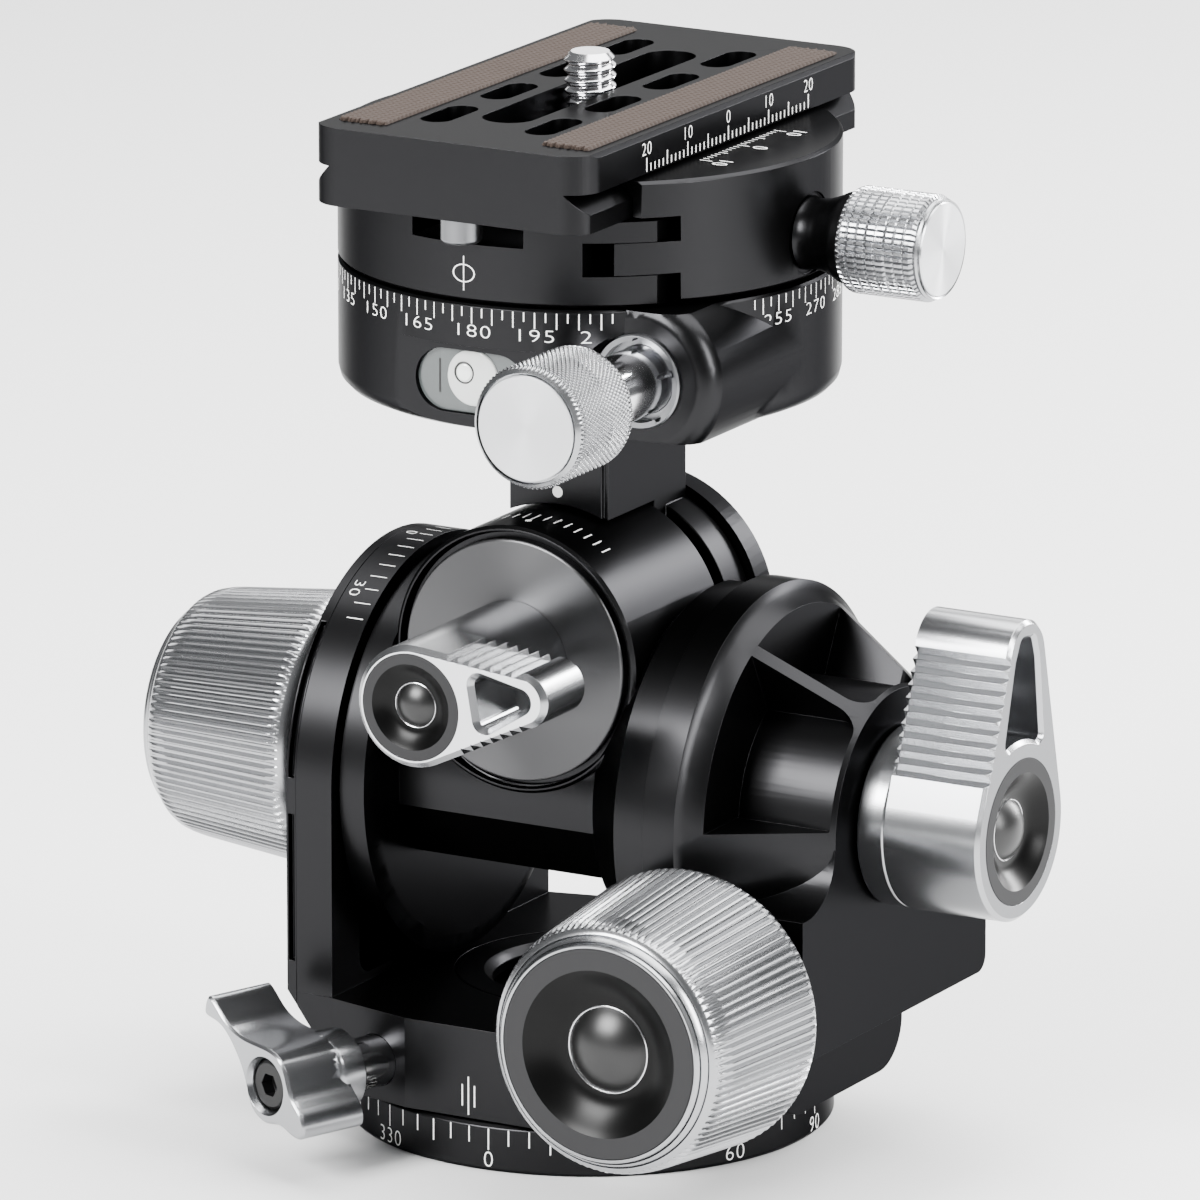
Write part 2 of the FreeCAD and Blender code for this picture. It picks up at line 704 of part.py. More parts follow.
def knob_body():
    """Fluted knob pointing along Z from its back face, bevelled at both ends."""
    r = KNOB_FRONT_R
    front = KNOB_LEN
    envelope = turned([
        (0, 0), (KNOB_R - 1.9, 0), (KNOB_R - 1.5, 0.3), (KNOB_R, KNOB_BACK_BEVEL),
        (r, front - KNOB_FRONT_BEVEL), (r - 0.8, front - 2.2), (r - 1.4, front - 1.4),
        (r - 1.6, front - 0.8), (r - 2.3, front), (0, front)])
    body = Part.makeLoft([flute_wire(-0.1), flute_wire(front + 0.1)], True, True).common(envelope)
    recess = rod(KNOB_INSERT_R, front - KNOB_INSERT_DEEP, front + 1)
    shaft = rod(WORM_SHAFT_R, -1, 9.0)
    return body.cut([recess, shaft])


def knob_insert():
    """Black end plug with a dish and a low dome, standing on Z = 0."""
    rim = KNOB_INSERT_DEEP + 0.1
    plate = turned([
        (0, 0), (KNOB_INSERT_R, 0), (KNOB_INSERT_R, rim - 0.2), (KNOB_INSERT_R - 0.2, rim),
        (KNOB_DISH_R, rim), (KNOB_DOME_R + 0.5, 0.9), (KNOB_DOME_R, 1.2), (0, 1.2)])
    ball = Part.makeSphere(KNOB_DOME_R * 1.35, vec(0, 0, 1.2 - KNOB_DOME_R * 0.9))
    dome = ball.common(rod(KNOB_DOME_R, 0.4, 8))
    return join(plate, dome)


def tilt_knob():
    return seat(knob_body(), vec(TILT_WORM_X, -TILT_KNOB_NEAR, TILT_WORM_Z), "front")


def tilt_knob_insert():
    face = -TILT_KNOB_NEAR - KNOB_LEN + KNOB_INSERT_DEEP
    return seat(knob_insert(), vec(TILT_WORM_X, face, TILT_WORM_Z), "front")


def tilt_worm():
    return seat(worm(TILT_KNOB_NEAR + 9.0), vec(TILT_WORM_X, 0, TILT_WORM_Z), "rear")


def roll_knob():
    neck = rod(KNOB_NECK_R, -(ROLL_KNOB_NEAR + COVER_X) + 0.5, 0.5)
    body = knob_body().fuse(neck).cut(rod(WORM_SHAFT_R, -9, 9.0))
    return seat(body, vec(-ROLL_KNOB_NEAR, 0, TILT_Z), "left")


def roll_knob_insert():
    face = -ROLL_KNOB_NEAR - KNOB_LEN + KNOB_INSERT_DEEP
    return seat(knob_insert(), vec(face, 0, TILT_Z), "left")


def roll_worm():
    return seat(worm(ROLL_KNOB_NEAR + 9.0), vec(0, 0, TILT_Z), "right")


# ---------------------------------------------------------------- tilt body
def tilt_turning():
    """Everything of the tilt body that is round about the tilt axis."""
    profile = [
        (0, WALL_X + 0.1), (JOURNAL_R, WALL_X + 0.1), (JOURNAL_R, FLANGE_X0),
        (FLANGE_R, FLANGE_X0), (FLANGE_R, FLANGE_X1), (FLANGE_CHAMFER_R, FLANGE_X2),
        (BODY_R, FLANGE_X2), (BODY_R, CONE_X0), (FLANGE_R, CONE_X1), (FLANGE_R, BODY_END),
        (HOUSING_BORE_R - RUN, BODY_END), (HOUSING_BORE_R - RUN, BEARING_END),
        (BEARING_NOSE_R, BEARING_END), (BEARING_NOSE_R, WHEEL_FACE_X), (0, WHEEL_FACE_X)]
    return seat(turned(profile), vec(0, 0, TILT_Z), "right")


def barrel():
    """Round front housing about the roll axis, with its turned face."""
    face = -BARREL_FRONT
    profile = [
        (0, -BARREL_BACK), (BARREL_R, -BARREL_BACK), (BARREL_R, face - 0.6),
        (BARREL_R - 0.4, face - 0.2), (FACE_GROOVE_R, face - 0.2), (FACE_GROOVE_R - 0.4, face - 1.4),
        (CAP_R, face - 1.4), (0, face - 1.4)]
    return seat(turned(profile), vec(0, 0, ROLL_Z), "front")


def body_underside():
    """Slanted front relief and flat belly between the two flanges."""
    points = [
        (CUT_FRONT_Y - 14, CUT_FRONT_Z), (CUT_FRONT_Y, CUT_FRONT_Z), (CUT_LOW_Y, CUT_LOW_Z),
        (-CUT_LOW_Y, CUT_LOW_Z), (-CUT_FRONT_Y, CUT_FRONT_Z), (14 - CUT_FRONT_Y, CUT_FRONT_Z),
        (14 - CUT_FRONT_Y, 10), (CUT_FRONT_Y - 14, 10)]
    tool = seat(prism(points, FLANGE_X2, CONE_X1), vec(0, 0, 0), "right")
    keep = seat(turned([(0, CONE_X0), (BODY_R, CONE_X0), (FLANGE_R, CONE_X1), (FLANGE_R, CONE_X1 + 1),
                        (0, CONE_X1 + 1)]), vec(0, 0, TILT_Z), "right")
    return tool.cut(keep)


def rear_wall():
    return seat(rod(REAR_R, SLOT_BACK, REAR_BACK), vec(0, 0, ROLL_Z), "rear")


def arm_slot():
    """Space in which the post and its round root swing."""
    root = seat(rod(ARM_R + 0.4, BARREL_BACK, SLOT_BACK), vec(0, 0, ROLL_Z), "rear")
    above = block(-30, 30, BARREL_BACK, SLOT_BACK, ROLL_Z, ROLL_Z + 40)
    return join(root, above)


def tilt_body():
    solid = join(tilt_turning(), barrel(), rear_wall())
    axis_a = vec(0, 0, TILT_Z)
    axis_b = vec(0, 0, ROLL_Z)
    cuts = [arm_slot(), body_underside()]
    cuts.append(seat(rod(WHEEL_CAVITY_R, WHEEL_CAVITY_Y0, BARREL_BACK + 1), axis_b, "rear"))
    cuts.append(seat(rod(BUSH_R, WALL_X - 1, WORM_HALF + FLOAT), axis_a, "right"))
    cuts.append(seat(rod(WORM_TAIL_R + RUN, 0, WORM_TAIL_END + FREE), axis_a, "right"))
    cuts.append(seat(rod(TILT_SHAFT_R, 16.0, 30.0), axis_a, "right"))
    cuts.append(seat(rod(ROLL_SHAFT_R, ROLL_SHAFT_FRONT, REAR_BACK + 1), axis_b, "rear"))
    cuts.append(seat(rod(ROLL_STUD_R + RUN, 0, -BARREL_FRONT + 1), axis_b, "front"))
    cuts.append(seat(rod(CAP_R, REAR_BACK, 30), axis_b, "rear"))
    cuts.append(seat(rod(FACE_GROOVE_R - 0.4, -BARREL_FRONT - 1.4, 30), axis_b, "front"))
    return solid.cut(cuts)


def barrel_cap():
    """Pale turned disc on the front of the barrel with its black centre boss."""
    face = -BARREL_FRONT
    profile = [
        (ROLL_STUD_R + RUN, face - 1.4), (CAP_R, face - 1.4), (CAP_R, face - 0.2),
        (CAP_R - 0.2, face), (ROLL_STUD_R + RUN, face)]
    return seat(turned(profile), vec(0, 0, ROLL_Z), "front")


def rear_cap():
    """Cover disc on the back of the rear wall."""
    profile = [
        (0, REAR_BACK), (CAP_R, REAR_BACK), (CAP_R, REAR_BACK + CAP_T - 0.2),
        (CAP_R - 0.2, REAR_BACK + CAP_T), (0, REAR_BACK + CAP_T)]
    return seat(turned(profile), vec(0, 0, ROLL_Z), "rear")


def tilt_wheel():
    hole = rod(TILT_SHAFT_R, -WHEEL_WIDTH, WHEEL_WIDTH)
    return seat(wheel_rim().cut(hole), vec(TILT_WORM_X, 0, TILT_Z), "right")


def tilt_pivot_shaft():
    shape = join(rod(TILT_SHAFT_R, 16.0, TILT_LEVER_X0 - 0.4))
    return seat(shape, vec(0, 0, TILT_Z), "right")


# ---------------------------------------------------------------- levers
def lever_hull(r0, r1, reach, z0, z1):
    """Plate wrapped round a big hub and a small tip at reach along X."""
    gap = reach - r1
    lean = math.acos((r0 - r1) / gap)
    up = [(r0 * math.cos(lean), r0 * math.sin(lean)),
          (gap + r1 * math.cos(lean), r1 * math.sin(lean))]
    points = [up[0], up[1], (up[1][0], -up[1][1]), (up[0][0], -up[0][1])]
    tip = rod(r1, z0, z1).translated(vec(gap, 0, 0))
    return join(prism(points, z0, z1), rod(r0, z0, z1), tip)


def ridge_cuts(r0, r1, reach, start, count, step, deep, valley, z0, z1, side):
    """Grip notches along one flank; valley is where in each step the notch is deepest."""
    gap = reach - r1
    lean = math.acos((r0 - r1) / gap)
    out = (math.cos(lean), math.sin(lean))
    along = (math.sin(lean), -math.cos(lean))
    notches = []
    for i in range(count):
        s = start + i * step
        end = s + 0.96 * step
        base = [(s, 1.0), (s, 0), (s + valley * step, -deep), (end, 0), (end, 1.0)]
        points = [(r0 * out[0] + a * along[0] + n * out[0],
                   side * (r0 * out[1] + a * along[1] + n * out[1])) for a, n in base]
        notches.append(prism(points, z0, z1))
    return notches


def bevel_face(shape, height, size):
    """Chamfer every edge of the flat end at a height."""
    rim = [e for e in shape.Edges
           if abs(e.BoundBox.ZMin - height) < 0.001 and abs(e.BoundBox.ZMax - height) < 0.001]
    return shape.makeChamfer(size, rim)


def window(points, radius, z0, z1):
    """Opening with rounded corners."""
    tool = prism(points, z0, z1)
    posts = [e for e in tool.Edges if e.BoundBox.ZLength > 1]
    return tool.makeFillet(radius, posts)


def lever_insert(radius, deep):
    """Black end plug with a dish and a small dome, standing on Z = 0."""
    scale = radius / KNOB_INSERT_R
    rim = deep
    dish = KNOB_DISH_R * scale
    dome_r = 0.37 * radius
    plate = turned([
        (0, 0), (radius, 0), (radius, rim - 0.15), (radius - 0.15, rim), (dish, rim),
        (dome_r + 0.3, 0.45 * rim), (0, 0.45 * rim)])
    ball = Part.makeSphere(dome_r * 1.35, vec(0, 0, 0.45 * rim - dome_r * 0.9))
    dome = ball.common(rod(dome_r, 0.2 * rim, 8))
    return join(plate, dome)


def roll_lever():
    z0 = ROLL_LEVER_Y0
    z1 = ROLL_LEVER_Y1
    size = (ROLL_LEVER_R, ROLL_LEVER_TIP_R, ROLL_LEVER_REACH)
    arm = lever_hull(*size, z0, z1)
    opening = window([(8.9, -3.6), (17.7, 0.0), (8.9, 3.6)], 1.0, z0 - 1, z1 + 1)
    arm = bevel_face(arm.cut(opening), z1, ROLL_LEVER_BEVEL)
    arm = join(arm, rod(ROLL_LEVER_R, -BARREL_FRONT + FLOAT, z0 + 1))
    cuts = ridge_cuts(*size, 4.1, 7, 1.48, 0.85, 0.22, z0 - 1, z1 + 1, 1)
    cuts += ridge_cuts(*size, 4.1, 7, 1.48, 0.85, 0.22, z0 - 1, z1 + 1, -1)
    cuts.append(rod(ROLL_LEVER_INSET_R, z1 - 1.6, z1 + 1))
    cuts.append(rod(ROLL_STUD_R, 0, z1 - 4.0))
    arm = arm.cut(cuts)
    arm.rotate(vec(0, 0, 0), vec(0, 0, 1), ROLL_LEVER_LIFT)
    return seat(arm, vec(0, 0, ROLL_Z), "front")


def roll_lever_insert():
    shape = lever_insert(ROLL_LEVER_INSET_R, 1.6)
    return seat(shape, vec(0, -ROLL_LEVER_Y1 + 1.6, ROLL_Z), "front")


def roll_lever_stud():
    return seat(rod(ROLL_STUD_R, -ROLL_SHAFT_FRONT + FREE, ROLL_LEVER_Y1 - 4.0),
                vec(0, 0, ROLL_Z), "front")


def tilt_lever_window(z0, z1):
    """Opening that narrows to the tip and follows the plug's rim below."""
    tool = prism([(8.0, -5.2), (21.0, -2.7), (23.6, -1.6), (23.6, 1.6), (21.0, 2.7), (8.0, 5.2)], z0, z1)
    tool = tool.cut(rod(TILT_LEVER_INSET_R + 2.2, z0 - 1, z1 + 1))
    posts = [e for e in tool.Edges if e.BoundBox.ZLength > 1]
    return tool.makeFillet(0.8, posts)


def tilt_lever():
    z0 = TILT_LEVER_X1
    z1 = TILT_LEVER_X2
    size = (TILT_LEVER_R, TILT_LEVER_TIP_R, TILT_LEVER_REACH)
    arm = lever_hull(*size, z0, z1).cut(tilt_lever_window(z0 - 1, z1 + 1))
    arm = bevel_face(arm, z1, TILT_LEVER_BEVEL)
    cuts = ridge_cuts(*size, 3.8, 10, 1.58, 1.0, 0.5, z0 - 1, z1 + 1, 1)
    cuts.append(rod(TILT_LEVER_INSET_R, z1 - 2.0, z1 + 1))
    cuts.append(rod(TILT_LEVER_INSET_R * 0.6, z0 - 1, z0 + 4))
    arm = arm.cut(cuts)
    arm.rotate(vec(0, 0, 0), vec(0, 0, 1), 90 - TILT_LEVER_LEAN)
    return seat(arm, vec(0, 0, TILT_Z), "right")


def tilt_lever_hub():
    """Silver ring behind the tilt lever with the spigot that carries it."""
    x0 = TILT_LEVER_X0
    x1 = TILT_LEVER_X1
    profile = [
        (0, x0), (TILT_LEVER_R - 0.4, x0), (TILT_LEVER_R, x0 + 0.4), (TILT_LEVER_R, x1 - 0.2),
        (TILT_LEVER_R - 0.2, x1), (TILT_LEVER_INSET_R * 0.6, x1),
        (TILT_LEVER_INSET_R * 0.6, x1 + 4), (0, x1 + 4)]
    return seat(turned(profile), vec(0, 0, TILT_Z), "right")


def tilt_lever_insert():
    shape = lever_insert(TILT_LEVER_INSET_R, 2.0)
    return seat(shape, vec(TILT_LEVER_X2 - 2.0, 0, TILT_Z), "right")


# ---------------------------------------------------------------- pan lock wing
def wing_seat(shape):
    """Place a shape built along its own Z on the slanted pan lock axis."""
    placed = seat(shape, vec(0, 0, 0), "front")
    placed.rotate(vec(0, 0, 0), vec(0, 0, 1), WING_TURN + 90)
    placed.translate(vec(WING_X, WING_Y, WING_Z))
    return placed


def wing_bore():
    return wing_seat(rod(WING_SHAFT_R + RUN, -19.0, 8.0))


def wing_outline():
    """Two-winged outline as seen from the handle end, (u, v) with v up."""
    return [
        (-11.8, 7.2), (-10.7, 8.8), (-9.2, 7.8), (-7.4, 6.3), (-4.5, 5.2), (0.4, 4.8), (3.0, 3.9),
        (4.2, 1.8), (5.2, -0.4), (7.2, -2.7), (7.2, -4.9), (5.2, -5.2), (2.6, -4.4), (0.0, -4.7),
        (-2.7, -3.4), (-4.0, -0.3), (-6.2, 3.4), (-8.6, 5.5), (-10.8, 6.1)]


def wing_lever():
    curve = Part.BSplineCurve()
    curve.interpolate([vec(u, v, WING_OUT - WING_THICK) for u, v in wing_outline()],
                      PeriodicFlag=True)
    face = Part.Face(Part.Wire(curve.toShape()))
    blade = bevel_face(face.extrude(vec(0, 0, WING_THICK)), WING_OUT, 0.3)
    hub = turned([(0, WING_HUB_NEAR), (WING_HUB_R - 0.4, WING_HUB_NEAR),
                  (WING_HUB_R, WING_HUB_NEAR + 0.4), (WING_HUB_R, WING_OUT - WING_THICK + 0.5),
                  (WING_HUB_R - 1.6, WING_OUT - WING_THICK + 3.5), (0, WING_OUT - WING_THICK + 3.5)])
    body = blade.fuse(hub)
    cone = turned([(0, WING_OUT - 1.0), (WING_SCREW_R + RUN, WING_OUT - 1.0),
                   (WING_SCREW_R + 0.6, WING_OUT + 0.1), (0, WING_OUT + 0.1)])
    well = rod(WING_SCREW_R + RUN, WING_OUT - 3.4, WING_OUT)
    socket = rod(WING_SHAFT_R - 0.6, WING_HUB_NEAR - 1, WING_OUT - 4.4)
    pilot = rod(1.5, WING_OUT - 5.0, WING_OUT)
    return wing_seat(body.cut([cone, well, socket, pilot]))


def wing_lever_screw():
    top = WING_OUT - 0.7
    head = turned([(0, WING_OUT - 3.4), (WING_SCREW_R, WING_OUT - 3.4), (WING_SCREW_R, top - 0.4),
                   (WING_SCREW_R - 0.4, top), (0, top)])
    head = head.cut(hex_hole(2.6, top - 1.6, top + 1))
    return wing_seat(join(head, rod(1.5, WING_OUT - 8.0, WING_OUT - 3.0)))


def wing_lever_stud():
    """Stepped rod that runs from the wing into the frame."""
    near = rod(WING_SHAFT_R, -16.5, WING_HUB_NEAR)
    inner = rod(WING_SHAFT_R - 0.6, WING_HUB_NEAR - 1, WING_OUT - 4.4)
    return wing_seat(join(near, inner).cut(rod(1.5, WING_OUT - 8.0, WING_OUT)))


def pan_brake_shoe():
    """Pad between the lock stud and the base hub, hollowed to the hub."""
    pad = wing_seat(rod(WING_SHAFT_R, -19.0, -16.6))
    under_retainer = rod(RETAINER_R + FREE, HUB_TOP - FLOAT, 30)
    return pad.cut([rod(HUB_R + RUN, 0, 30), under_retainer])


# ---------------------------------------------------------------- post and ring
def post_root():
    """Round root, stepped in front so that it clears the worm and its bush."""
    step = BUSH_R + FREE
    disc = join(rod(ARM_R, step, ARM_Y1), rod(ARM_NOSE_R, ARM_Y0, step + 1))
    return seat(disc, vec(0, 0, ROLL_Z), "rear")


def roll_arm():
    """Post with a round root; its front arches over the barrel."""
    front = block(-POST_X, POST_X, POST_FRONT, POST_BACK - 0.1, ROLL_Z, POST_TOP)
    clear = seat(rod(POST_CLEAR_R, POST_FRONT - 1, ARM_Y0), vec(0, 0, ROLL_Z), "rear")
    front = front.cut(clear)
    waist = block(-POST_X, POST_X, ARM_Y0, ARM_Y1, ROLL_Z, POST_TOP)
    solid = join(post_root(), front, waist)
    back = block(-40, 40, ARM_Y1, 40, 0, POST_TOP - 4)
    slit = block(POST_X - 0.6, POST_X + 1, POST_FRONT - 0.01, POST_FRONT + 0.6, 70, POST_TOP)
    hole = seat(rod(ROLL_SHAFT_R + RUN, 0, 20), vec(0, 0, ROLL_Z), "rear")
    bolts = [rod(1.5, POST_TOP - 7, POST_TOP + 1).translated(vec(0, y, 0)) for y in (-3.0, 7.0)]
    return solid.cut([back, slit, hole] + bolts)


def roll_wheel():
    boss = rod(6.2, 0, ARM_Y0)
    rim = wheel_rim()
    hole = rod(ROLL_SHAFT_R + RUN, -5, 10)
    return seat(join(rim, boss).cut(hole), vec(0, 0, ROLL_Z), "rear")


def roll_shaft():
    return seat(rod(ROLL_SHAFT_R, ROLL_SHAFT_FRONT, REAR_BACK), vec(0, 0, ROLL_Z), "rear")


def lock_axis_seat(shape):
    return seat(shape, vec(LOCK_X, 0, LOCK_Z), "front")


def ring_solid():
    r = RING_R
    k = RING_ROUND
    low = [(r - k, RING_Z), (r - 0.45 * k, RING_Z + 0.25 * k), (r - 0.12 * k, RING_Z + 0.6 * k),
           (r, RING_Z + 1.1 * k)]
    return turned([(0, RING_Z)] + low + [(r, RING_TOP - 0.3), (r - 0.3, RING_TOP), (0, RING_TOP)])


def lock_boss():
    """Round swelling of the ring about the pan lock, clipped to its height."""
    face = -LOCK_FACE_Y
    r = LOCK_BOSS_R
    swell = turned([(0, 0), (r, 0), (r, face - 2.6), (r - 0.5, face - 1.3), (r - 1.4, face - 0.4),
                    (r - 2.5, face), (0, face)])
    slab = block(-40, 40, -40, 0, RING_Z, RING_TOP)
    return lock_axis_seat(swell).common(slab)


def top_scale_ring():
    solid = ring_solid()
    facet = block(-9.85, 9.85, -40, FACET_Y, RING_Z, RING_TOP - 5.2)
    solid = solid.cut(facet)
    solid = join(solid, lock_boss())
    spot = lock_axis_seat(turned([
        (0, -LOCK_FACE_Y), (LOCK_SPOT_R - 1.2, -LOCK_FACE_Y), (LOCK_SPOT_R, -LOCK_FACE_Y + 1.2),
        (LOCK_SPOT_R + 3, 40), (0, 40)]))
    level = seat(obround(LEVEL_HALF, LEVEL_R, -FACET_Y - LEVEL_DEEP, 35), vec(0, 0, LEVEL_Z), "front")
    collar_seat = lock_axis_seat(rod(LOCK_COLLAR_R, 16.0, 40))
    lock_hole = lock_axis_seat(rod(2.05, 2, 40))
    well = rod(HUB_PIN_R + RUN, RING_TOP - 8.0, RING_TOP + 1)
    bolts = [rod(1.5, RING_Z - 1, RING_Z + 4).translated(vec(0, y, 0)) for y in (-3.0, 7.0)]
    heads = [rod(2.9, RING_Z + 4, RING_TOP).translated(vec(0, y, 0)) for y in (-3.0, 7.0)]
    return solid.cut([spot, level, collar_seat, lock_hole, well] + bolts + heads)


def ring_screws():
    screws = []
    for y in (-3.0, 7.0):
        head = rod(2.7, RING_Z + 4, RING_Z + 6.8).cut(hex_hole(2.5, RING_Z + 5, RING_Z + 8))
        shank = rod(1.5, POST_TOP - 6.8, RING_Z + 4.5)
        screws.append(join(head, shank).translated(vec(0, y, 0)))
    return Part.makeCompound(screws)


def vial_capsule():
    """Round-ended glass tube lying along X behind the facet."""
    flat = VIAL_HALF - VIAL_R
    centre = -FACET_Y - VIAL_DEEP
    tube = Part.makeCylinder(VIAL_R, 2 * flat, vec(-flat, 0, centre), vec(1, 0, 0))
    ends = [Part.makeSphere(VIAL_R, vec(s * flat, 0, centre)) for s in (-1, 1)]
    return join(tube, *ends)


def level_body():
    """White cradle with a round trough behind the vial."""
    back = -FACET_Y - LEVEL_DEEP
    shape = obround(LEVEL_HALF, LEVEL_R, back, -FACET_Y - 1.2)
    mouth = obround(VIAL_HALF, VIAL_R, -FACET_Y - VIAL_DEEP, 40)
    return seat(shape.cut([vial_capsule(), mouth]), vec(0, 0, LEVEL_Z), "front")


def level_vial():
    return seat(vial_capsule(), vec(0, 0, LEVEL_Z), "front")


def top_lock_collar():
    """Castellated silver ring screwed into the boss."""
    out = -LOCK_FACE_Y + 0.6
    mid = LOCK_SHAFT_R + COLLAR_GAP
    floor = out - COLLAR_GAP_DEEP
    ring = turned([(LOCK_SHAFT_R + RUN, 16.0), (LOCK_COLLAR_R, 16.0), (LOCK_COLLAR_R, out - 0.2),
                   (LOCK_COLLAR_R - 0.2, out), (mid, out), (mid, floor),
                   (LOCK_SHAFT_R + RUN, floor)])
    slots = []
    for i in range(5):
        t = math.radians(90 + 72 * i)
        slots.append(rod(0.5, floor, out + 1).translated(
            vec(mid * math.cos(t), mid * math.sin(t), 0)))
    return lock_axis_seat(ring.cut(slots))


def top_lock_knob():
    near = -LOCK_KNOB_Y0
    far = -LOCK_KNOB_Y1
    r = LOCK_KNOB_R
    knob = turned([(0, near), (r - 0.9, near), (r, near + 0.7), (r, far - 1.1),
                   (LOCK_FACE_R + 0.3, far - 0.3), (LOCK_FACE_R, far - 0.3),
                   (LOCK_FACE_R, far - 1.6), (0, far - 1.6)])
    return lock_axis_seat(knob.cut(rod(LOCK_SHAFT_R, near - 1, near + 7)))


def top_lock_face():
    far = -LOCK_KNOB_Y1
    disc = turned([(0, far - 1.6), (LOCK_FACE_R, far - 1.6), (LOCK_FACE_R, far - 0.15),
                   (LOCK_FACE_R - 0.15, far), (0, far)])
    return lock_axis_seat(disc)


def top_lock_stud():
    near = -LOCK_KNOB_Y0
    return lock_axis_seat(join(rod(LOCK_SHAFT_R, 16.4, near + 7), rod(2.0, 6.0, 17.0)))


# ---------------------------------------------------------------- clamp
def clamp_envelope(z0, z1):
    """Round blank of the clamp with softened upper and lower edges."""
    r = CLAMP_R
    return turned([(0, z0), (r - 0.4, z0), (r, z0 + 0.4), (r, z1 - 0.4), (r - 0.4, z1), (0, z1)])


def lip_profile(side, x_root):
    """Section of the hooked lip that runs in the plate groove, as (x, z)."""
    slope = (FOOT_X - GROOVE_X) / (PLATE_LEDGE_Z - FOOT_Z)
    foot = FOOT_X + SLIDE + 0.1
    hook = foot - (JAW_TOP - FOOT_Z) * slope
    points = [(x_root, LIP_Z), (foot, LIP_Z), (foot, FOOT_Z), (hook, JAW_TOP), (x_root, JAW_TOP)]
    return [(side * x, z) for x, z in points]


def clamp_body():
    """Lower disc with the fixed jaw on the left and the slideway on the right."""
    disc = clamp_envelope(CLAMP_Z, JAW_TOP)
    wide = 2 * CLAMP_R
    over_floor = block(-FOOT_X - SLIDE - 0.1, wide, -wide, wide, CLAMP_FLOOR, JAW_TOP + 1)
    right = block(CLAMP_FACE_X, wide, -wide, wide, 0, 200)
    hook = seat(prism(lip_profile(-1, CLAMP_R - 4), -wide, wide), vec(0, 0, 0), "front")
    hook = hook.common(clamp_envelope(CLAMP_Z, JAW_TOP))
    slide = block(TONGUE_SLOT_X, wide, -wide, wide, TONGUE_Z0 - SLIDE, TONGUE_Z1 + SLIDE)
    solid = disc.cut([over_floor, right]).fuse(hook).cut(slide)
    cuts = []
    for side in (-1, 1):
        y0 = NOTCH_Y if side > 0 else -wide
        cuts.append(block(-NOTCH_X, NOTCH_X, y0, y0 + wide - NOTCH_Y, NOTCH_Z, JAW_TOP + 1))
        pin = rod(GUIDE_PIN_R + RUN, 8.0, 30.0)
        cuts.append(seat(pin, vec(0, side * GUIDE_PIN_Y, CLAMP_AXIS_Z + 0.3), "right"))
    cuts.append(seat(rod(CLAMP_SCREW_R + RUN, -6.0, 40), vec(0, 0, CLAMP_AXIS_Z), "right"))
    solid = join(solid, clamp_spindle())
    return solid.cut(cuts)


def clamp_spindle():
    """Round boss under the clamp that turns in the ring."""
    return rod(HUB_PIN_R, RING_TOP - 8.0 + FREE, CLAMP_Z + 1)


def clamp_jaw():
    wide = 2 * CLAMP_R
    blank = clamp_envelope(CLAMP_Z + FREE, JAW_TOP)
    main = blank.common(block(JAW_X, wide, -wide, wide, 0, 200))
    tongue = block(TONGUE_X, JAW_X + 1, -wide, wide, TONGUE_Z0, TONGUE_Z1).common(blank)
    lip = seat(prism(lip_profile(1, JAW_X + 1), -wide, wide), vec(0, 0, 0), "front").common(blank)
    ends = [block(0, JAW_X, -wide, -23.0, LIP_Z - 1, 200), block(0, JAW_X, 23.0, wide, LIP_Z - 1, 200)]
    solid = join(main, tongue, lip.cut(ends))
    cuts = [seat(rod(CLAMP_SCREW_R + RUN, 0, 60), vec(0, 0, CLAMP_AXIS_Z), "right")]
    for side in (-1, 1):
        cuts.append(seat(rod(GUIDE_PIN_R, 0, GUIDE_PIN_END),
                         vec(0, side * GUIDE_PIN_Y, CLAMP_AXIS_Z + 0.3), "right"))
    spot = seat(rod(CLAMP_NECK_R + 0.5, CLAMP_R - 0.6, wide), vec(0, 0, CLAMP_AXIS_Z), "right")
    return solid.cut(cuts + [spot])


def jaw_guide_pins():
    pins = []
    for side in (-1, 1):
        pin = rod(GUIDE_PIN_R, 11.0, GUIDE_PIN_END)
        pins.append(seat(pin, vec(0, side * GUIDE_PIN_Y, CLAMP_AXIS_Z + 0.3), "right"))
    return Part.makeCompound(pins)


def clamp_knob():
    x0 = CLAMP_KNOB_X0
    x1 = CLAMP_KNOB_X1
    r = CLAMP_KNOB_R
    base = CLAMP_R + FREE - 0.6
    neck = [(0, base), (CLAMP_NECK_R, base), (CLAMP_NECK_R - 0.3, base + 1.2),
            (CLAMP_NECK_R, base + 3.0), (CLAMP_NECK_R + 1.0, x0 - 0.4)]
    knob = neck + [(r - 0.6, x0), (r, x0 + 0.6), (r, x1 - 0.9), (CLAMP_KNOB_FACE_R + 0.2, x1 - 0.2),
                   (CLAMP_KNOB_FACE_R, x1 - 0.2), (CLAMP_KNOB_FACE_R, x1 - 1.2), (0, x1 - 1.2)]
    body = turned(knob).cut(rod(CLAMP_SCREW_R, 0, x0 + 4))
    return seat(body, vec(0, 0, CLAMP_AXIS_Z), "right")


def clamp_knob_cap():
    x1 = CLAMP_KNOB_X1
    r = CLAMP_KNOB_FACE_R
    disc = turned([(0, x1 - 1.2), (r, x1 - 1.2), (r, x1 - 0.1), (r - 0.1, x1), (0, x1)])
    return seat(disc, vec(0, 0, CLAMP_AXIS_Z), "right")


def clamp_screw():
    return seat(rod(CLAMP_SCREW_R, -3.0, CLAMP_KNOB_X0 + 4), vec(0, 0, CLAMP_AXIS_Z), "right")


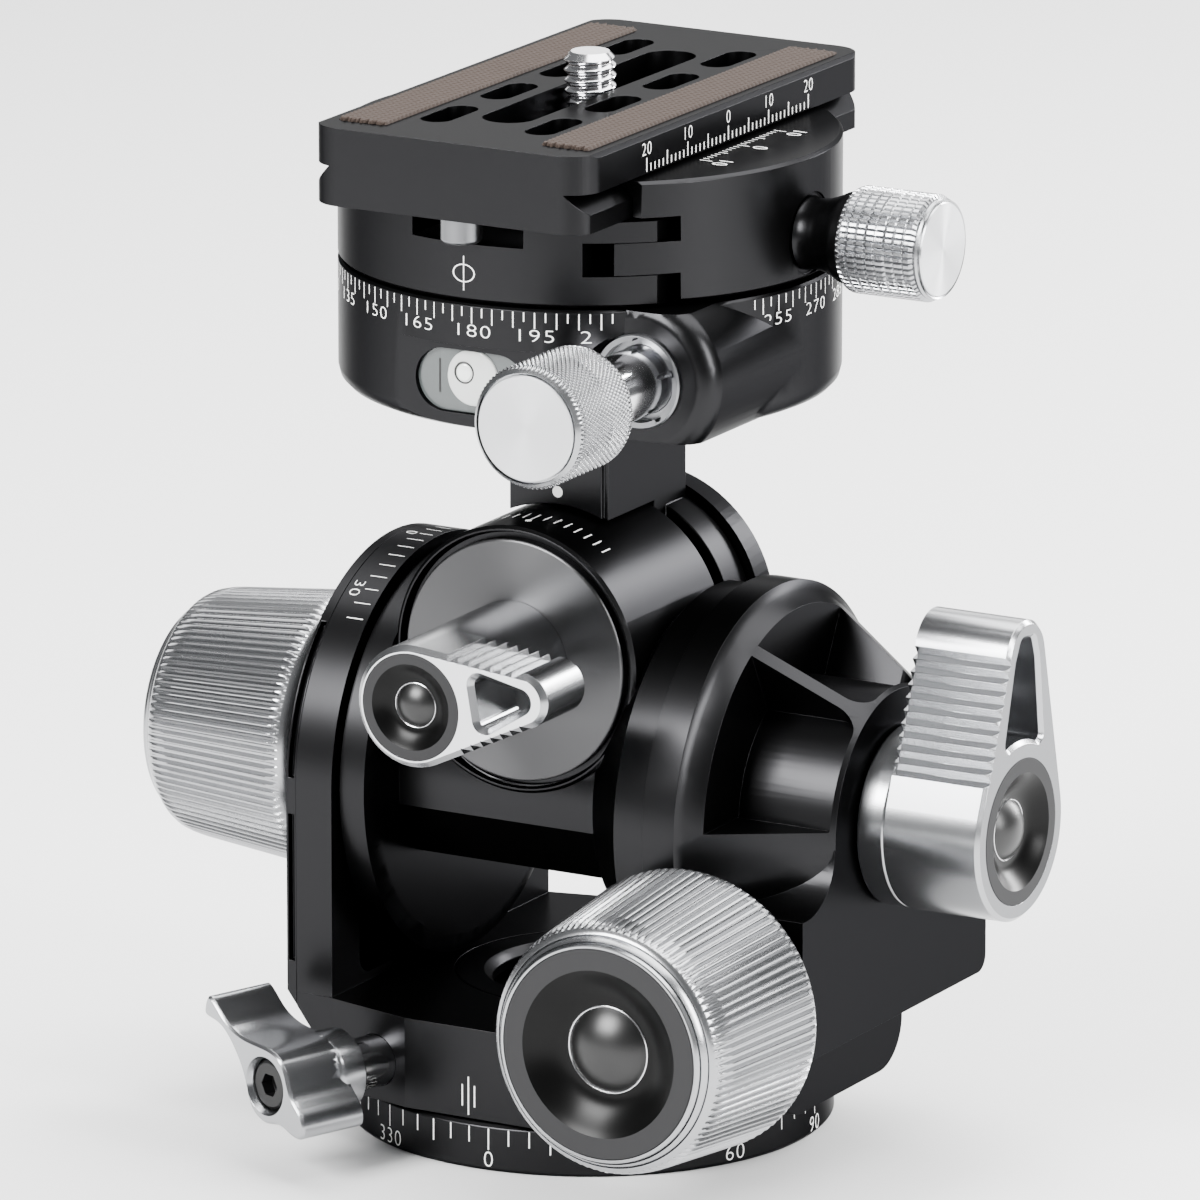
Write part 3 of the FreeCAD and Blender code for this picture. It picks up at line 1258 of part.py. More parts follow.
# ---------------------------------------------------------------- plate
def plate_section():
    """Half section of the plate as (x, z), mirrored left to right."""
    half = [(FOOT_X, PLATE_Z), (FOOT_X, FOOT_Z), (GROOVE_X, PLATE_LEDGE_Z), (PLATE_X, PLATE_LEDGE_Z),
            (PLATE_X, PLATE_TOP - EDGE), (PLATE_X - EDGE, PLATE_TOP)]
    return half + [(-x, z) for x, z in reversed(half)]


def plate_blank():
    bar = seat(prism(plate_section(), -PLATE_Y, PLATE_Y), vec(0, 0, 0), "front")
    column = block(-PLATE_X, PLATE_X, -PLATE_Y, PLATE_Y, PLATE_Z, PLATE_TOP)
    posts = [e for e in column.Edges if e.BoundBox.ZLength > 1]
    return bar.common(column.makeFillet(PLATE_CORNER, posts))


def slot_y(half, width, z0, z1, x, y):
    shape = obround(half, width / 2, z0, z1)
    shape.rotate(vec(0, 0, 0), vec(0, 0, 1), 90)
    shape.translate(vec(x, y, 0))
    return shape


def grip_pad(side):
    x0 = PAD_X0 if side > 0 else -PAD_X1
    box = block(x0, x0 + PAD_X1 - PAD_X0, -PAD_Y, PAD_Y, PLATE_TOP - PAD_SEAT, PLATE_TOP + PAD_PROUD)
    posts = [e for e in box.Edges if e.BoundBox.ZLength > 0.5 and e.BoundBox.YLength < 0.1
             and e.BoundBox.XLength < 0.1]
    return box.makeFillet(1.0, posts)


def carrier_pocket():
    """Square-ended pocket below the middle slot in which the sliding nut runs."""
    half = CARRIER_SLOT_W / 2
    reach = MAIN_SLOT_HALF + 2.7
    tool = block(-half, half, -reach, reach, PLATE_Z - 1, CARRIER_Z1 + SLIDE)
    posts = [e for e in tool.Edges if e.BoundBox.ZLength > 1]
    return tool.makeFillet(CARRIER_CORNER, posts)


def quick_plate():
    solid = plate_blank()
    cuts = []
    for y in (-SLOT_Y_FAR, -SLOT_Y_NEAR, SLOT_Y_NEAR, SLOT_Y_FAR):
        for x in (-SLOT_X, SLOT_X):
            cuts.append(slot_y(SLOT_LEN / 2, SLOT_W, PLATE_Z - 1, PLATE_TOP + 1, x, y))
    cuts.append(slot_y(MAIN_SLOT_HALF, MAIN_SLOT_W, PLATE_Z - 1, PLATE_TOP + 1, 0, 0))
    cuts.append(carrier_pocket())
    for side in (-1, 1):
        cuts.append(grip_pad(side))
        cuts.append(rod(PIN_R - 1.0, PLATE_Z - 1, PLATE_Z + 4).translated(vec(0, side * PIN_Y, 0)))
    return solid.cut(cuts)


def grip_pads():
    return Part.makeCompound([grip_pad(-1), grip_pad(1)])


def stop_pins():
    pins = []
    for side in (-1, 1):
        pin = turned([(0, PIN_Z), (PIN_R - 0.4, PIN_Z), (PIN_R, PIN_Z + 0.4), (PIN_R, PLATE_Z),
                      (PIN_R - 1.0, PLATE_Z), (PIN_R - 1.0, PLATE_Z + 3.8), (0, PLATE_Z + 3.8)])
        pin = pin.cut(hex_hole(2.0, PIN_Z - 1, PIN_Z + 1.4))
        pins.append(pin.translated(vec(0, side * PIN_Y, 0)))
    return Part.makeCompound(pins)


def screw_carrier():
    """Sliding nut that carries the camera screw along the middle slot."""
    half = CARRIER_SLOT_W / 2 - SLIDE
    foot = block(-half, half, -half, half, CARRIER_Z0, CARRIER_Z1)
    posts = [e for e in foot.Edges if e.BoundBox.ZLength > 1]
    foot = foot.makeFillet(CARRIER_CORNER, posts)
    hole = rod(SCREW_NECK_R + RUN, 0, 200)
    well = rod(SCREW_HEAD_R + RUN, 0, CARRIER_Z0 + 1.6)
    return foot.cut([hole, well])


def camera_screw():
    low = PLATE_Z + 0.6
    seat_z = CARRIER_Z0 + 1.5
    body = turned([
        (0, low), (SCREW_HEAD_R - 0.4, low), (SCREW_HEAD_R, low + 0.4), (SCREW_HEAD_R, seat_z),
        (SCREW_NECK_R, seat_z), (SCREW_NECK_R, SCREW_THREAD_Z), (SCREW_R, SCREW_THREAD_Z),
        (SCREW_R, SCREW_TOP - 0.7), (SCREW_R - 0.7, SCREW_TOP), (0, SCREW_TOP)])
    slot = block(-6, 6, -0.7, 0.7, low - 1, low + 1.2)
    return body.cut(slot)


NODES = {
    "pan_base_disc": pan_base_disc,
    "base_socket_insert": base_socket_insert,
    "pan_retainer": pan_retainer,
    "axle_bolt": axle_bolt,
    "base_frame": base_frame,
    "axle_cap": axle_cap,
    "side_cover": side_cover,
    "cover_screws": cover_screws,
    "tilt_gear_housing": tilt_gear_housing,
    "housing_bolts": housing_bolts,
    "tilt_bush": tilt_bush,
    "pan_brake_shoe": pan_brake_shoe,
    "wing_lever": wing_lever,
    "wing_lever_screw": wing_lever_screw,
    "wing_lever_stud": wing_lever_stud,
    "tilt_knob": tilt_knob,
    "tilt_knob_insert": tilt_knob_insert,
    "tilt_worm": tilt_worm,
    "tilt_lever": tilt_lever,
    "tilt_lever_hub": tilt_lever_hub,
    "tilt_lever_insert": tilt_lever_insert,
    "tilt_body": tilt_body,
    "barrel_cap": barrel_cap,
    "rear_cap": rear_cap,
    "roll_bush": roll_bush,
    "tilt_wheel": tilt_wheel,
    "tilt_pivot_shaft": tilt_pivot_shaft,
    "roll_knob": roll_knob,
    "roll_knob_insert": roll_knob_insert,
    "roll_worm": roll_worm,
    "roll_lever": roll_lever,
    "roll_lever_insert": roll_lever_insert,
    "roll_lever_stud": roll_lever_stud,
    "roll_arm": roll_arm,
    "roll_wheel": roll_wheel,
    "roll_shaft": roll_shaft,
    "top_scale_ring": top_scale_ring,
    "ring_screws": ring_screws,
    "level_body": level_body,
    "level_vial": level_vial,
    "top_lock_collar": top_lock_collar,
    "top_lock_knob": top_lock_knob,
    "top_lock_face": top_lock_face,
    "top_lock_stud": top_lock_stud,
    "clamp_body": clamp_body,
    "clamp_jaw": clamp_jaw,
    "jaw_guide_pins": jaw_guide_pins,
    "clamp_knob": clamp_knob,
    "clamp_knob_cap": clamp_knob_cap,
    "clamp_screw": clamp_screw,
    "quick_plate": quick_plate,
    "grip_pads": grip_pads,
    "stop_pins": stop_pins,
    "screw_carrier": screw_carrier,
    "camera_screw": camera_screw,
}

for name, make in NODES.items():
    shape = make()
    shape.exportStep("parts/" + name + ".step")
    print(name, len(shape.Solids), round(shape.Volume, 2), shape.isValid())
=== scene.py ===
import json
import logging
import math
from dataclasses import dataclass
from enum import Enum
from typing import Callable, Sequence

import bmesh
import bpy
import numpy as np
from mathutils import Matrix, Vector


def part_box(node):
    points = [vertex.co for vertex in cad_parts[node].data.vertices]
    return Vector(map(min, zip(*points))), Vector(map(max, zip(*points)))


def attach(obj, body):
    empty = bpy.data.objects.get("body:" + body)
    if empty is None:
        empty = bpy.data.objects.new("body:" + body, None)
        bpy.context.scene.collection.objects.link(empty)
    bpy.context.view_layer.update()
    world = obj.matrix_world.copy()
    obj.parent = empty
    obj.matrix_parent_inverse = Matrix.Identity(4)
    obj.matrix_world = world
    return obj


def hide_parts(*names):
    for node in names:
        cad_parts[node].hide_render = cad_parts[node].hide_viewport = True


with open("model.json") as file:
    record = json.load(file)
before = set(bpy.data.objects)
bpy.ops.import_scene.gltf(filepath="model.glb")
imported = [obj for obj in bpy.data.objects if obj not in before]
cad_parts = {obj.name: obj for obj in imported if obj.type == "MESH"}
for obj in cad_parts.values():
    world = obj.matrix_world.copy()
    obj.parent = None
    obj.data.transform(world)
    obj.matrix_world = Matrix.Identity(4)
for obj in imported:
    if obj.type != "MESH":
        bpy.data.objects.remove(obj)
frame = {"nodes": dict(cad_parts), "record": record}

LOG = logging.getLogger("geared_head")
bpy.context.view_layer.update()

# Lengths in this script are millimetres; meshes are stored in metres.
MM = 0.001

# Places that the solids share with the dressing, in mm.
TILT_Z = 43.2              # height of the tilt axis
ROLL_Z = 61.0              # height of the roll axis
TILT_WORM = (31.6, 25.4)   # x and z of the tilt knob's axis
TILT_KNOB_NEAR = 29.6      # how far out the tilt knob starts
ROLL_KNOB_NEAR = 31.5      # how far out the solid of the roll knob starts
KNOB_LONG = 24.4           # length of both control knobs
KNOB_PLUG_R = 12.8         # radius of the plugs in their ends
LOCK_AXIS = (20.3, 99.3)   # x and z of the ring lock's axis
CLAMP_AXIS_Z = 113.6       # height of the clamp screw's axis
LIFT = 0.02                # how far an engraving stands proud of its face

# Radius by (radius, angle, height), for a skin that is fluted, knurled or threaded.
Swell = Callable[[np.ndarray, np.ndarray, np.ndarray], np.ndarray]
# Carries rows of (s, t) on an unrolled sheet to points in mm.
Wrap = Callable[[np.ndarray], np.ndarray]


def box_mm(node: str) -> tuple[np.ndarray, np.ndarray]:
    """Lowest and highest corner of a solid, in mm."""
    low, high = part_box(node)
    return np.array(low) / MM, np.array(high) / MM


# ---- placing


@dataclass(frozen=True)
class Spot:
    """A place with three directions of its own.

    Attributes:
        origin: where local (0, 0, 0) stands, in mm.
        across: direction of local x.
        up: direction of local y.
        out: direction of local z.
    """

    origin: tuple[float, float, float]
    across: tuple[float, float, float]
    up: tuple[float, float, float]
    out: tuple[float, float, float]

    def place(self, points: np.ndarray) -> np.ndarray:
        """Carry local points to the row frame: origin + x across + y up + z out."""
        turn = np.array([self.across, self.up, self.out])
        return np.asarray(self.origin) + points @ turn


def link(thing: bpy.types.Object) -> None:
    """Put an object into the scene."""
    bpy.context.scene.collection.objects.link(thing)


class Side(Enum):
    """The side of the head that a piece looks out of."""

    FRONT = ((1, 0, 0), (0, 0, 1), (0, -1, 0))
    RIGHT = ((0, 1, 0), (0, 0, 1), (1, 0, 0))
    LEFT = ((0, -1, 0), (0, 0, 1), (-1, 0, 0))
    UP = ((1, 0, 0), (0, 1, 0), (0, 0, 1))

    def at(self, x: float, y: float, z: float) -> Spot:
        """A spot at a point in mm that looks out of this side."""
        return Spot((x, y, z), *self.value)


# ---- meshes


def grid_faces(rows: int, cols: int, closed: bool) -> np.ndarray:
    """Quads of a grid of points, row by row.

    Args:
        rows: points along the profile.
        cols: points round or across.
        closed: whether the last column joins the first.

    Returns:
        One row of four point numbers for each quad.
    """
    i, j = np.meshgrid(np.arange(rows - 1), np.arange(cols if closed else cols - 1), indexing="ij")
    k = (j + 1) % cols
    quads = np.stack([i * cols + j, i * cols + k, (i + 1) * cols + k, (i + 1) * cols + j], -1)
    return quads.reshape(-1, 4)


def new_piece(name: str, points: np.ndarray, faces: Sequence[Sequence[int]], finish: "Finish",
              body: str, sharp_deg: float = 32.0, weld: bool = True
              ) -> bpy.types.Object:
    """Put a mesh into the scene, finished and riding on its body.

    Args:
        name: name of the piece.
        points: its corners in mm, in the row frame.
        faces: point numbers of each face.
        finish: what it is made of.
        body: the body it moves with.
        sharp_deg: edges sharper than this stay crisp.
        weld: whether doubled points are merged and faces turned outwards.

    Returns:
        The new object.
    """
    mesh = bpy.data.meshes.new(name)
    rows = faces.tolist() if isinstance(faces, np.ndarray) else [list(f) for f in faces]
    mesh.from_pydata((np.asarray(points) * MM).tolist(), [], rows)
    if weld:
        work = bmesh.new()
        work.from_mesh(mesh)
        bmesh.ops.remove_doubles(work, verts=work.verts, dist=2e-7)
        bmesh.ops.recalc_face_normals(work, faces=work.faces)
        work.to_mesh(mesh)
        work.free()
    mesh.update()
    mesh.shade_smooth()
    mesh.set_sharp_from_angle(angle=math.radians(sharp_deg))
    piece = bpy.data.objects.new(name, mesh)
    link(piece)
    mesh.materials.append(finish.material())
    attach(piece, body)
    return piece


def lathe(profile: np.ndarray, steps: int, spot: Spot, swell: Swell | None = None
          ) -> tuple[np.ndarray, np.ndarray]:
    """Turn a profile about its own z.

    A point is (r cos t, r sin t, z), with r from the profile, or from swell(r, t, z) where the
    skin is fluted or knurled.

    Args:
        profile: rows of (radius, height).
        steps: points round.
        spot: where it stands.
        swell: changes the radius with the angle and the height.

    Returns:
        Points in mm and quads.
    """
    turn = np.arange(steps) * 2 * np.pi / steps
    radius, t = np.meshgrid(profile[:, 0], turn, indexing="ij")
    height = np.repeat(profile[:, 1:2], steps, axis=1)
    if swell is not None:
        radius = swell(radius, t, height)
    points = np.stack([radius * np.cos(t), radius * np.sin(t), height], -1).reshape(-1, 3)
    return spot.place(points), grid_faces(len(profile), steps, True)


def turned(name: str, profile: np.ndarray, steps: int, spot: Spot, finish: "Finish", body: str,
           sharp_deg: float = 32.0, swell: Swell | None = None
           ) -> bpy.types.Object:
    """Turn a profile with lathe and put it into the scene with new_piece."""
    points, faces = lathe(profile, steps, spot, swell)
    return new_piece(name, points, faces, finish, body, sharp_deg)


def dense(profile: Sequence[tuple[float, float]], step: float) -> np.ndarray:
    """Fill an outline with points no further apart than step.

    Args:
        profile: corners as (radius, height).
        step: largest distance in mm.

    Returns:
        One row of (radius, height) for each point.
    """
    rows = [np.array(profile[0], float)]
    for a, b in zip(profile[:-1], profile[1:]):
        a, b = np.array(a, float), np.array(b, float)
        count = max(1, math.ceil(float(np.hypot(*(b - a))) / step))
        rows += [a + (b - a) * k / count for k in range(1, count + 1)]
    return np.array(rows)


# ---- finishes


def linear(colour: str) -> tuple[float, float, float, float]:
    """Turn an sRGB colour to linear light.

    Args:
        colour: hex string such as #808080.

    Returns:
        Linear red, green and blue, and an alpha of 1.
    """
    parts = [int(colour[i:i + 2], 16) / 255 for i in (1, 3, 5)]
    flat = [c / 12.92 if c <= 0.04045 else ((c + 0.055) / 1.055) ** 2.4 for c in parts]
    return (*flat, 1.0)


def add_node(tree: bpy.types.NodeTree, kind: str, values: dict | None = None,
             links: dict | None = None, **settings: object) -> bpy.types.Node:
    """Add one shader node.

    Args:
        tree: where it goes.
        kind: its type name.
        values: constants for its inputs, by input name or number.
        links: outputs that feed its inputs.
        settings: its own options.

    Returns:
        The new node.
    """
    node = tree.nodes.new(kind)
    for key, value in settings.items():
        setattr(node, key, value)
    for key, value in (values or {}).items():
        node.inputs[key].default_value = value
    for key, source in (links or {}).items():
        tree.links.new(source, node.inputs[key])
    return node


@dataclass(frozen=True)
class Finish:
    """A plain surface: colour, shine and how its light spreads.

    Attributes:
        name: the finish, or for a paler or darker copy, the painted light or shade it carries.
        slot: the record's material slot; not used.
        colour: sRGB hex of the skin.
        rough: how far its highlights spread.
        metal: 1 for bare or anodised metal.
        coat, coat_rough: a clear layer on top.
        clear: share of the light that passes.
        ior: index of refraction, for what isn't metal.
        glance: tint of what it mirrors at a glancing view.
    """

    name: str
    slot: str
    colour: str
    rough: float
    metal: float = 0.0
    coat: float = 0.0
    coat_rough: float = 0.1
    clear: float = 0.0
    ior: float = 1.5
    glance: str = "#FFFFFF"

    def detail(self, tree: bpy.types.NodeTree, skin: bpy.types.Node) -> None:
        """Link the fine surface relief or brushing; a smooth skin has none."""

    def material(self) -> bpy.types.Material:
        """Make the Blender material once and share it.

        Returns:
            The material.
        """
        made = bpy.data.materials.get(self.name)
        if made:
            return made
        made = bpy.data.materials.new(self.name)
        made.use_nodes = True
        tree = made.node_tree
        skin = tree.nodes["Principled BSDF"]
        skin.inputs["Base Color"].default_value = linear(self.colour)
        skin.inputs["Roughness"].default_value = self.rough
        skin.inputs["Metallic"].default_value = self.metal
        skin.inputs["Coat Weight"].default_value = self.coat
        skin.inputs["Coat Roughness"].default_value = self.coat_rough
        skin.inputs["Transmission Weight"].default_value = self.clear
        skin.inputs["Specular Tint"].default_value = linear(self.glance)
        if self.metal < 1:
            skin.inputs["IOR"].default_value = self.ior
        self.detail(tree, skin)
        return made


@dataclass(frozen=True)
class BlastedFinish(Finish):
    """Bead-blasted and anodised: tiny random dimples that break up the highlight.

    Attributes:
        grain_mm, height_mm: width and depth of a dimple.
        strength: share of the relief that shows.
    """

    grain_mm: float = 0.12
    height_mm: float = 0.004
    strength: float = 0.35

    def detail(self, tree: bpy.types.NodeTree, skin: bpy.types.Node) -> None:
        """Dimples as noise one grain wide, in Object coordinates.

        Args:
            tree: the material's nodes.
            skin: its shader.
        """
        coords = add_node(tree, "ShaderNodeTexCoord")
        noise = add_node(tree, "ShaderNodeTexNoise",
                         {"Scale": 1 / (self.grain_mm * MM), "Detail": 1.0},
                         {"Vector": coords.outputs["Object"]})
        bump = add_node(tree, "ShaderNodeBump",
                        {"Strength": self.strength, "Distance": self.height_mm * MM},
                        {"Height": noise.outputs["Fac"]})
        tree.links.new(bump.outputs["Normal"], skin.inputs["Normal"])


@dataclass(frozen=True)
class TurnedFinish(Finish):
    """Face turned on a lathe: its rings spread the light outwards, into a bow tie.

    Attributes:
        centre: a point on the turning axis, in mm.
        keep: 1 for each direction in the face and 0 for the one along the axis.
        stretch: how far the highlight is drawn out.
    """

    centre: tuple[float, float, float] = (0.0, 0.0, 0.0)
    keep: tuple[float, float, float] = (1.0, 0.0, 1.0)
    stretch: float = 0.8

    def detail(self, tree: bpy.types.NodeTree, skin: bpy.types.Node) -> None:
        """Stretch the highlight along the line from the turning axis.

        Args:
            tree: the material's nodes.
            skin: its shader.
        """
        coords = add_node(tree, "ShaderNodeTexCoord")
        centre = tuple(c * MM for c in self.centre)
        shifted = add_node(tree, "ShaderNodeVectorMath", {1: centre}, {0: coords.outputs["Object"]},
                           operation="SUBTRACT")
        flat = add_node(tree, "ShaderNodeVectorMath", {1: self.keep}, {0: shifted.outputs[0]},
                        operation="MULTIPLY")
        world = add_node(tree, "ShaderNodeVectorTransform", None, {0: flat.outputs[0]},
                         vector_type="VECTOR", convert_from="OBJECT", convert_to="WORLD")
        tree.links.new(world.outputs[0], skin.inputs["Tangent"])
        skin.inputs["Anisotropic"].default_value = self.stretch


# Black hard anodising on blasted aluminium: deep satin black, dull at a glance, so the walls
# stay dark where they turn away and only broad soft highlights show.
BLACK = BlastedFinish("Black_hard_anodised_aluminium", "black_satin", "#262627", 0.30, metal=1.0,
                      glance="#B0B0B0")
# Black anodising on a turned disc, given a paler grey than the black as a painted sheen; its
# turning rings throw the light up and down, so the top greys.
BLACK_DISC_PAINTED_SHEEN = TurnedFinish("Black_anodised_turned_disc_painted_sheen", "grey_satin", "#4B4B4C", 0.34, metal=1.0,
                         glance="#B4B4B4", centre=(0.0, 0.0, ROLL_Z))
# Clear anodising on fine-blasted aluminium: pale silver with soft, strong highlights.
SILVER = Finish("Clear_anodised_aluminium", "silver_satin", "#9C9D9F", 0.24, metal=1.0)
# A paler copy of the clear anodising, laid on the flat front face of the roll lever as painted
# light, so it stays pale and even.
SILVER_PAINTED_LIGHT = Finish("Clear_anodised_face_painted_light", "silver_satin", "#DCDDDF", 0.42, metal=1.0)
# A darker copy of the clear anodising, laid on the flat side of the tilt lever as painted shade: an
# even mid grey.
SILVER_PAINTED_SHADE = Finish("Clear_anodised_face_painted_shade", "silver_satin", "#7A7B7D", 0.40, metal=1.0)
# Turned steel lock ring: a darker ring round the bright stud.
RING_STEEL = Finish("Turned_steel_ring", "polished_steel", "#77787A", 0.30, metal=1.0)
# Ground and polished stainless steel: near mirror, for studs and screws.
STEEL = Finish("Polished_stainless_steel", "polished_steel", "#D4D4D6", 0.14, metal=1.0)
# Heat-blackened steel screws: dark with a tight shine.
BLACK_STEEL = Finish("Blackened_steel", "black_steel", "#161616", 0.30, metal=0.6)
# Bearing bronze of bushes and worm wheels.
BRONZE = Finish("Bearing_bronze", "brass", "#B48A50", 0.32, metal=1.0)
# Injection-moulded ABS plug: glossy dished part.
ABS_GLOSS = Finish("Moulded_ABS_gloss", "black_gloss", "#030303", 0.30, ior=1.22)
# The dome in its middle is polished less, which spreads its highlight into a haze.
ABS_DOME = Finish("Moulded_ABS_hazy_dome", "black_gloss", "#050505", 0.36, ior=1.5)
# The flat rim of the same plug is etched to a dull dark grey.
ABS_RIM = Finish("Moulded_ABS_etched_rim", "black_gloss", "#232324", 0.8, ior=1.35)
# White filler in the engraved lines: bright, matt.
ENGRAVING = Finish("White_engraving_filler", "black_satin", "#F4F4F2", 0.55)
# Nitrile grip strip: brown-grey, dull.
GRIP = Finish("Nitrile_grip_rubber", "grip_rubber", "#2A201A", 0.85, ior=1.35)
# Moulded white cradle behind the level.
CRADLE = Finish("Moulded_white_acetal", "white_plastic", "#E9EAE6", 0.5)
# Clear acrylic tube of the level.
VIAL = Finish("Clear_acrylic_vial", "vial_glass", "#FBFDFA", 0.04, clear=0.45, ior=1.49)
# The pane round the chamber is painted dark grey for the shade of the recess seen through it, so it
# reads dark beside the clear middle.
PANE_PAINTED_SHADE = Finish("Acrylic_pane_painted_shade", "vial_glass", "#4C5050", 0.12, ior=1.49)
# The bubble is painted pale as a painted highlight: it reads as a bright lens in the liquid.
BUBBLE_PAINTED_HIGHLIGHT = Finish("Air_bubble_painted_highlight", "vial_glass", "#E8ECE8", 0.05, coat=1.0, coat_rough=0.02)
# Fine dark lines printed on the vial; the same dark also paints the shade at the edge of the
# bubble.
INK_AND_BUBBLE_SHADE = Finish("Black_vial_ink_and_bubble_shade", "vial_glass", "#0C0C0C", 0.5)
# Matt seamless studio card.
CARD = Finish("Pale_studio_card", "", "#E0E0E0", 0.9)


# ---- solids


@dataclass
class SolidCoat:
    """Gives a solid a welded, softly edged skin and its finish.

    Attributes:
        edge_mm: width of the softened edges.
        sharp_deg: edges sharper than this are softened.
    """

    edge_mm: float = 0.16
    sharp_deg: float = 32.0

    def dress(self, node: str, finish: Finish, edge_mm: float | None = None,
              faced: tuple[Side, Finish] | None = None) -> bpy.types.Object:
        """Copy a solid, weld it, soften its edges and stand it in for the solid.

        Args:
            node: name of the solid.
            finish: what it is made of.
            edge_mm: another edge width; 0 leaves the edges crisp.
            faced: a side whose flat faces take a paler or darker copy of the finish, as painted
                light or shade.

        Returns:
            The new object.
        """
        source = frame["nodes"][node]
        mesh = source.data.copy()
        mesh.name = node + "_skin"
        mesh.materials.clear()
        work = bmesh.new()
        work.from_mesh(mesh)
        bmesh.ops.remove_doubles(work, verts=work.verts, dist=1e-6)
        bmesh.ops.dissolve_limit(work, angle_limit=math.radians(0.6), verts=work.verts,
                                 edges=work.edges)
        work.to_mesh(mesh)
        work.free()
        mesh.shade_smooth()
        mesh.set_sharp_from_angle(angle=math.radians(self.sharp_deg))
        piece = bpy.data.objects.new(node + "_skin", mesh)
        link(piece)
        mesh.materials.append(finish.material())
        if faced:
            side, painted_copy = faced
            mesh.materials.append(painted_copy.material())
            # The flat faces that look out of that side take the copy: painted light where it is
            # paler, painted shade where it is darker.
            normals = np.zeros(len(mesh.polygons) * 3)
            mesh.polygons.foreach_get("normal", normals)
            flat = normals.reshape(-1, 3) @ np.array(side.value[2]) > 0.999
            mesh.polygons.foreach_set("material_index", flat.astype(np.int32))
        width = self.edge_mm if edge_mm is None else edge_mm
        if width:
            edge = piece.modifiers.new("soft_edges", "BEVEL")
            edge.width = width * MM
            edge.segments = 2
            edge.limit_method = "ANGLE"
            edge.angle_limit = math.radians(self.sharp_deg)
            edge.use_clamp_overlap = True
        even = piece.modifiers.new("even_normals", "WEIGHTED_NORMAL")
        even.keep_sharp = True
        even.weight = 90
        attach(piece, body_of_node(node))
        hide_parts(node)
        return piece

    def dress_all(self, finish: Finish, **edges: float | None) -> None:
        """Dress several solids alike, each with its own edge width (see dress)."""
        for node, edge_mm in edges.items():
            self.dress(node, finish, edge_mm)


def body_of_node(node: str) -> str:
    """Name of the body that holds a solid."""
    groups = frame["record"]["behaviour"]["bodies"]
    return next(body for body, members in groups.items() if node in members)


COAT = SolidCoat()


# ---- engraving


class Writer:
    """Turns figures into flat outlines, kept for reuse."""

    def __init__(self) -> None:
        """Start with no figures."""
        self.kept: dict[str, tuple[np.ndarray, list[list[int]]]] = {}

    def figures(self, text: str) -> tuple[np.ndarray, list[list[int]]]:
        """Outline of a text one unit high, centred on its middle.

        Args:
            text: the figures.

        Returns:
            Flat points and faces.
        """
        if text not in self.kept:
            curve = bpy.data.curves.new("figures", "FONT")
            curve.body = text
            curve.align_x = "CENTER"
            curve.space_character = 1.12
            curve.offset = -0.016
            curve.resolution_u = 4
            holder = bpy.data.objects.new("figures", curve)
            link(holder)
            bpy.context.view_layer.update()
            mesh = bpy.data.meshes.new_from_object(holder)
            flat = np.zeros(len(mesh.vertices) * 3)
            mesh.vertices.foreach_get("co", flat)
            points = flat.reshape(-1, 3)[:, :2]
            faces = [list(p.vertices) for p in mesh.polygons]
            tall = 0.70
            points = (points - [0.0, tall / 2]) / tall
            bpy.data.objects.remove(holder)
            bpy.data.meshes.remove(mesh)
            bpy.data.curves.remove(curve)
            self.kept[text] = (points, faces)
        return self.kept[text]


WRITER = Writer()


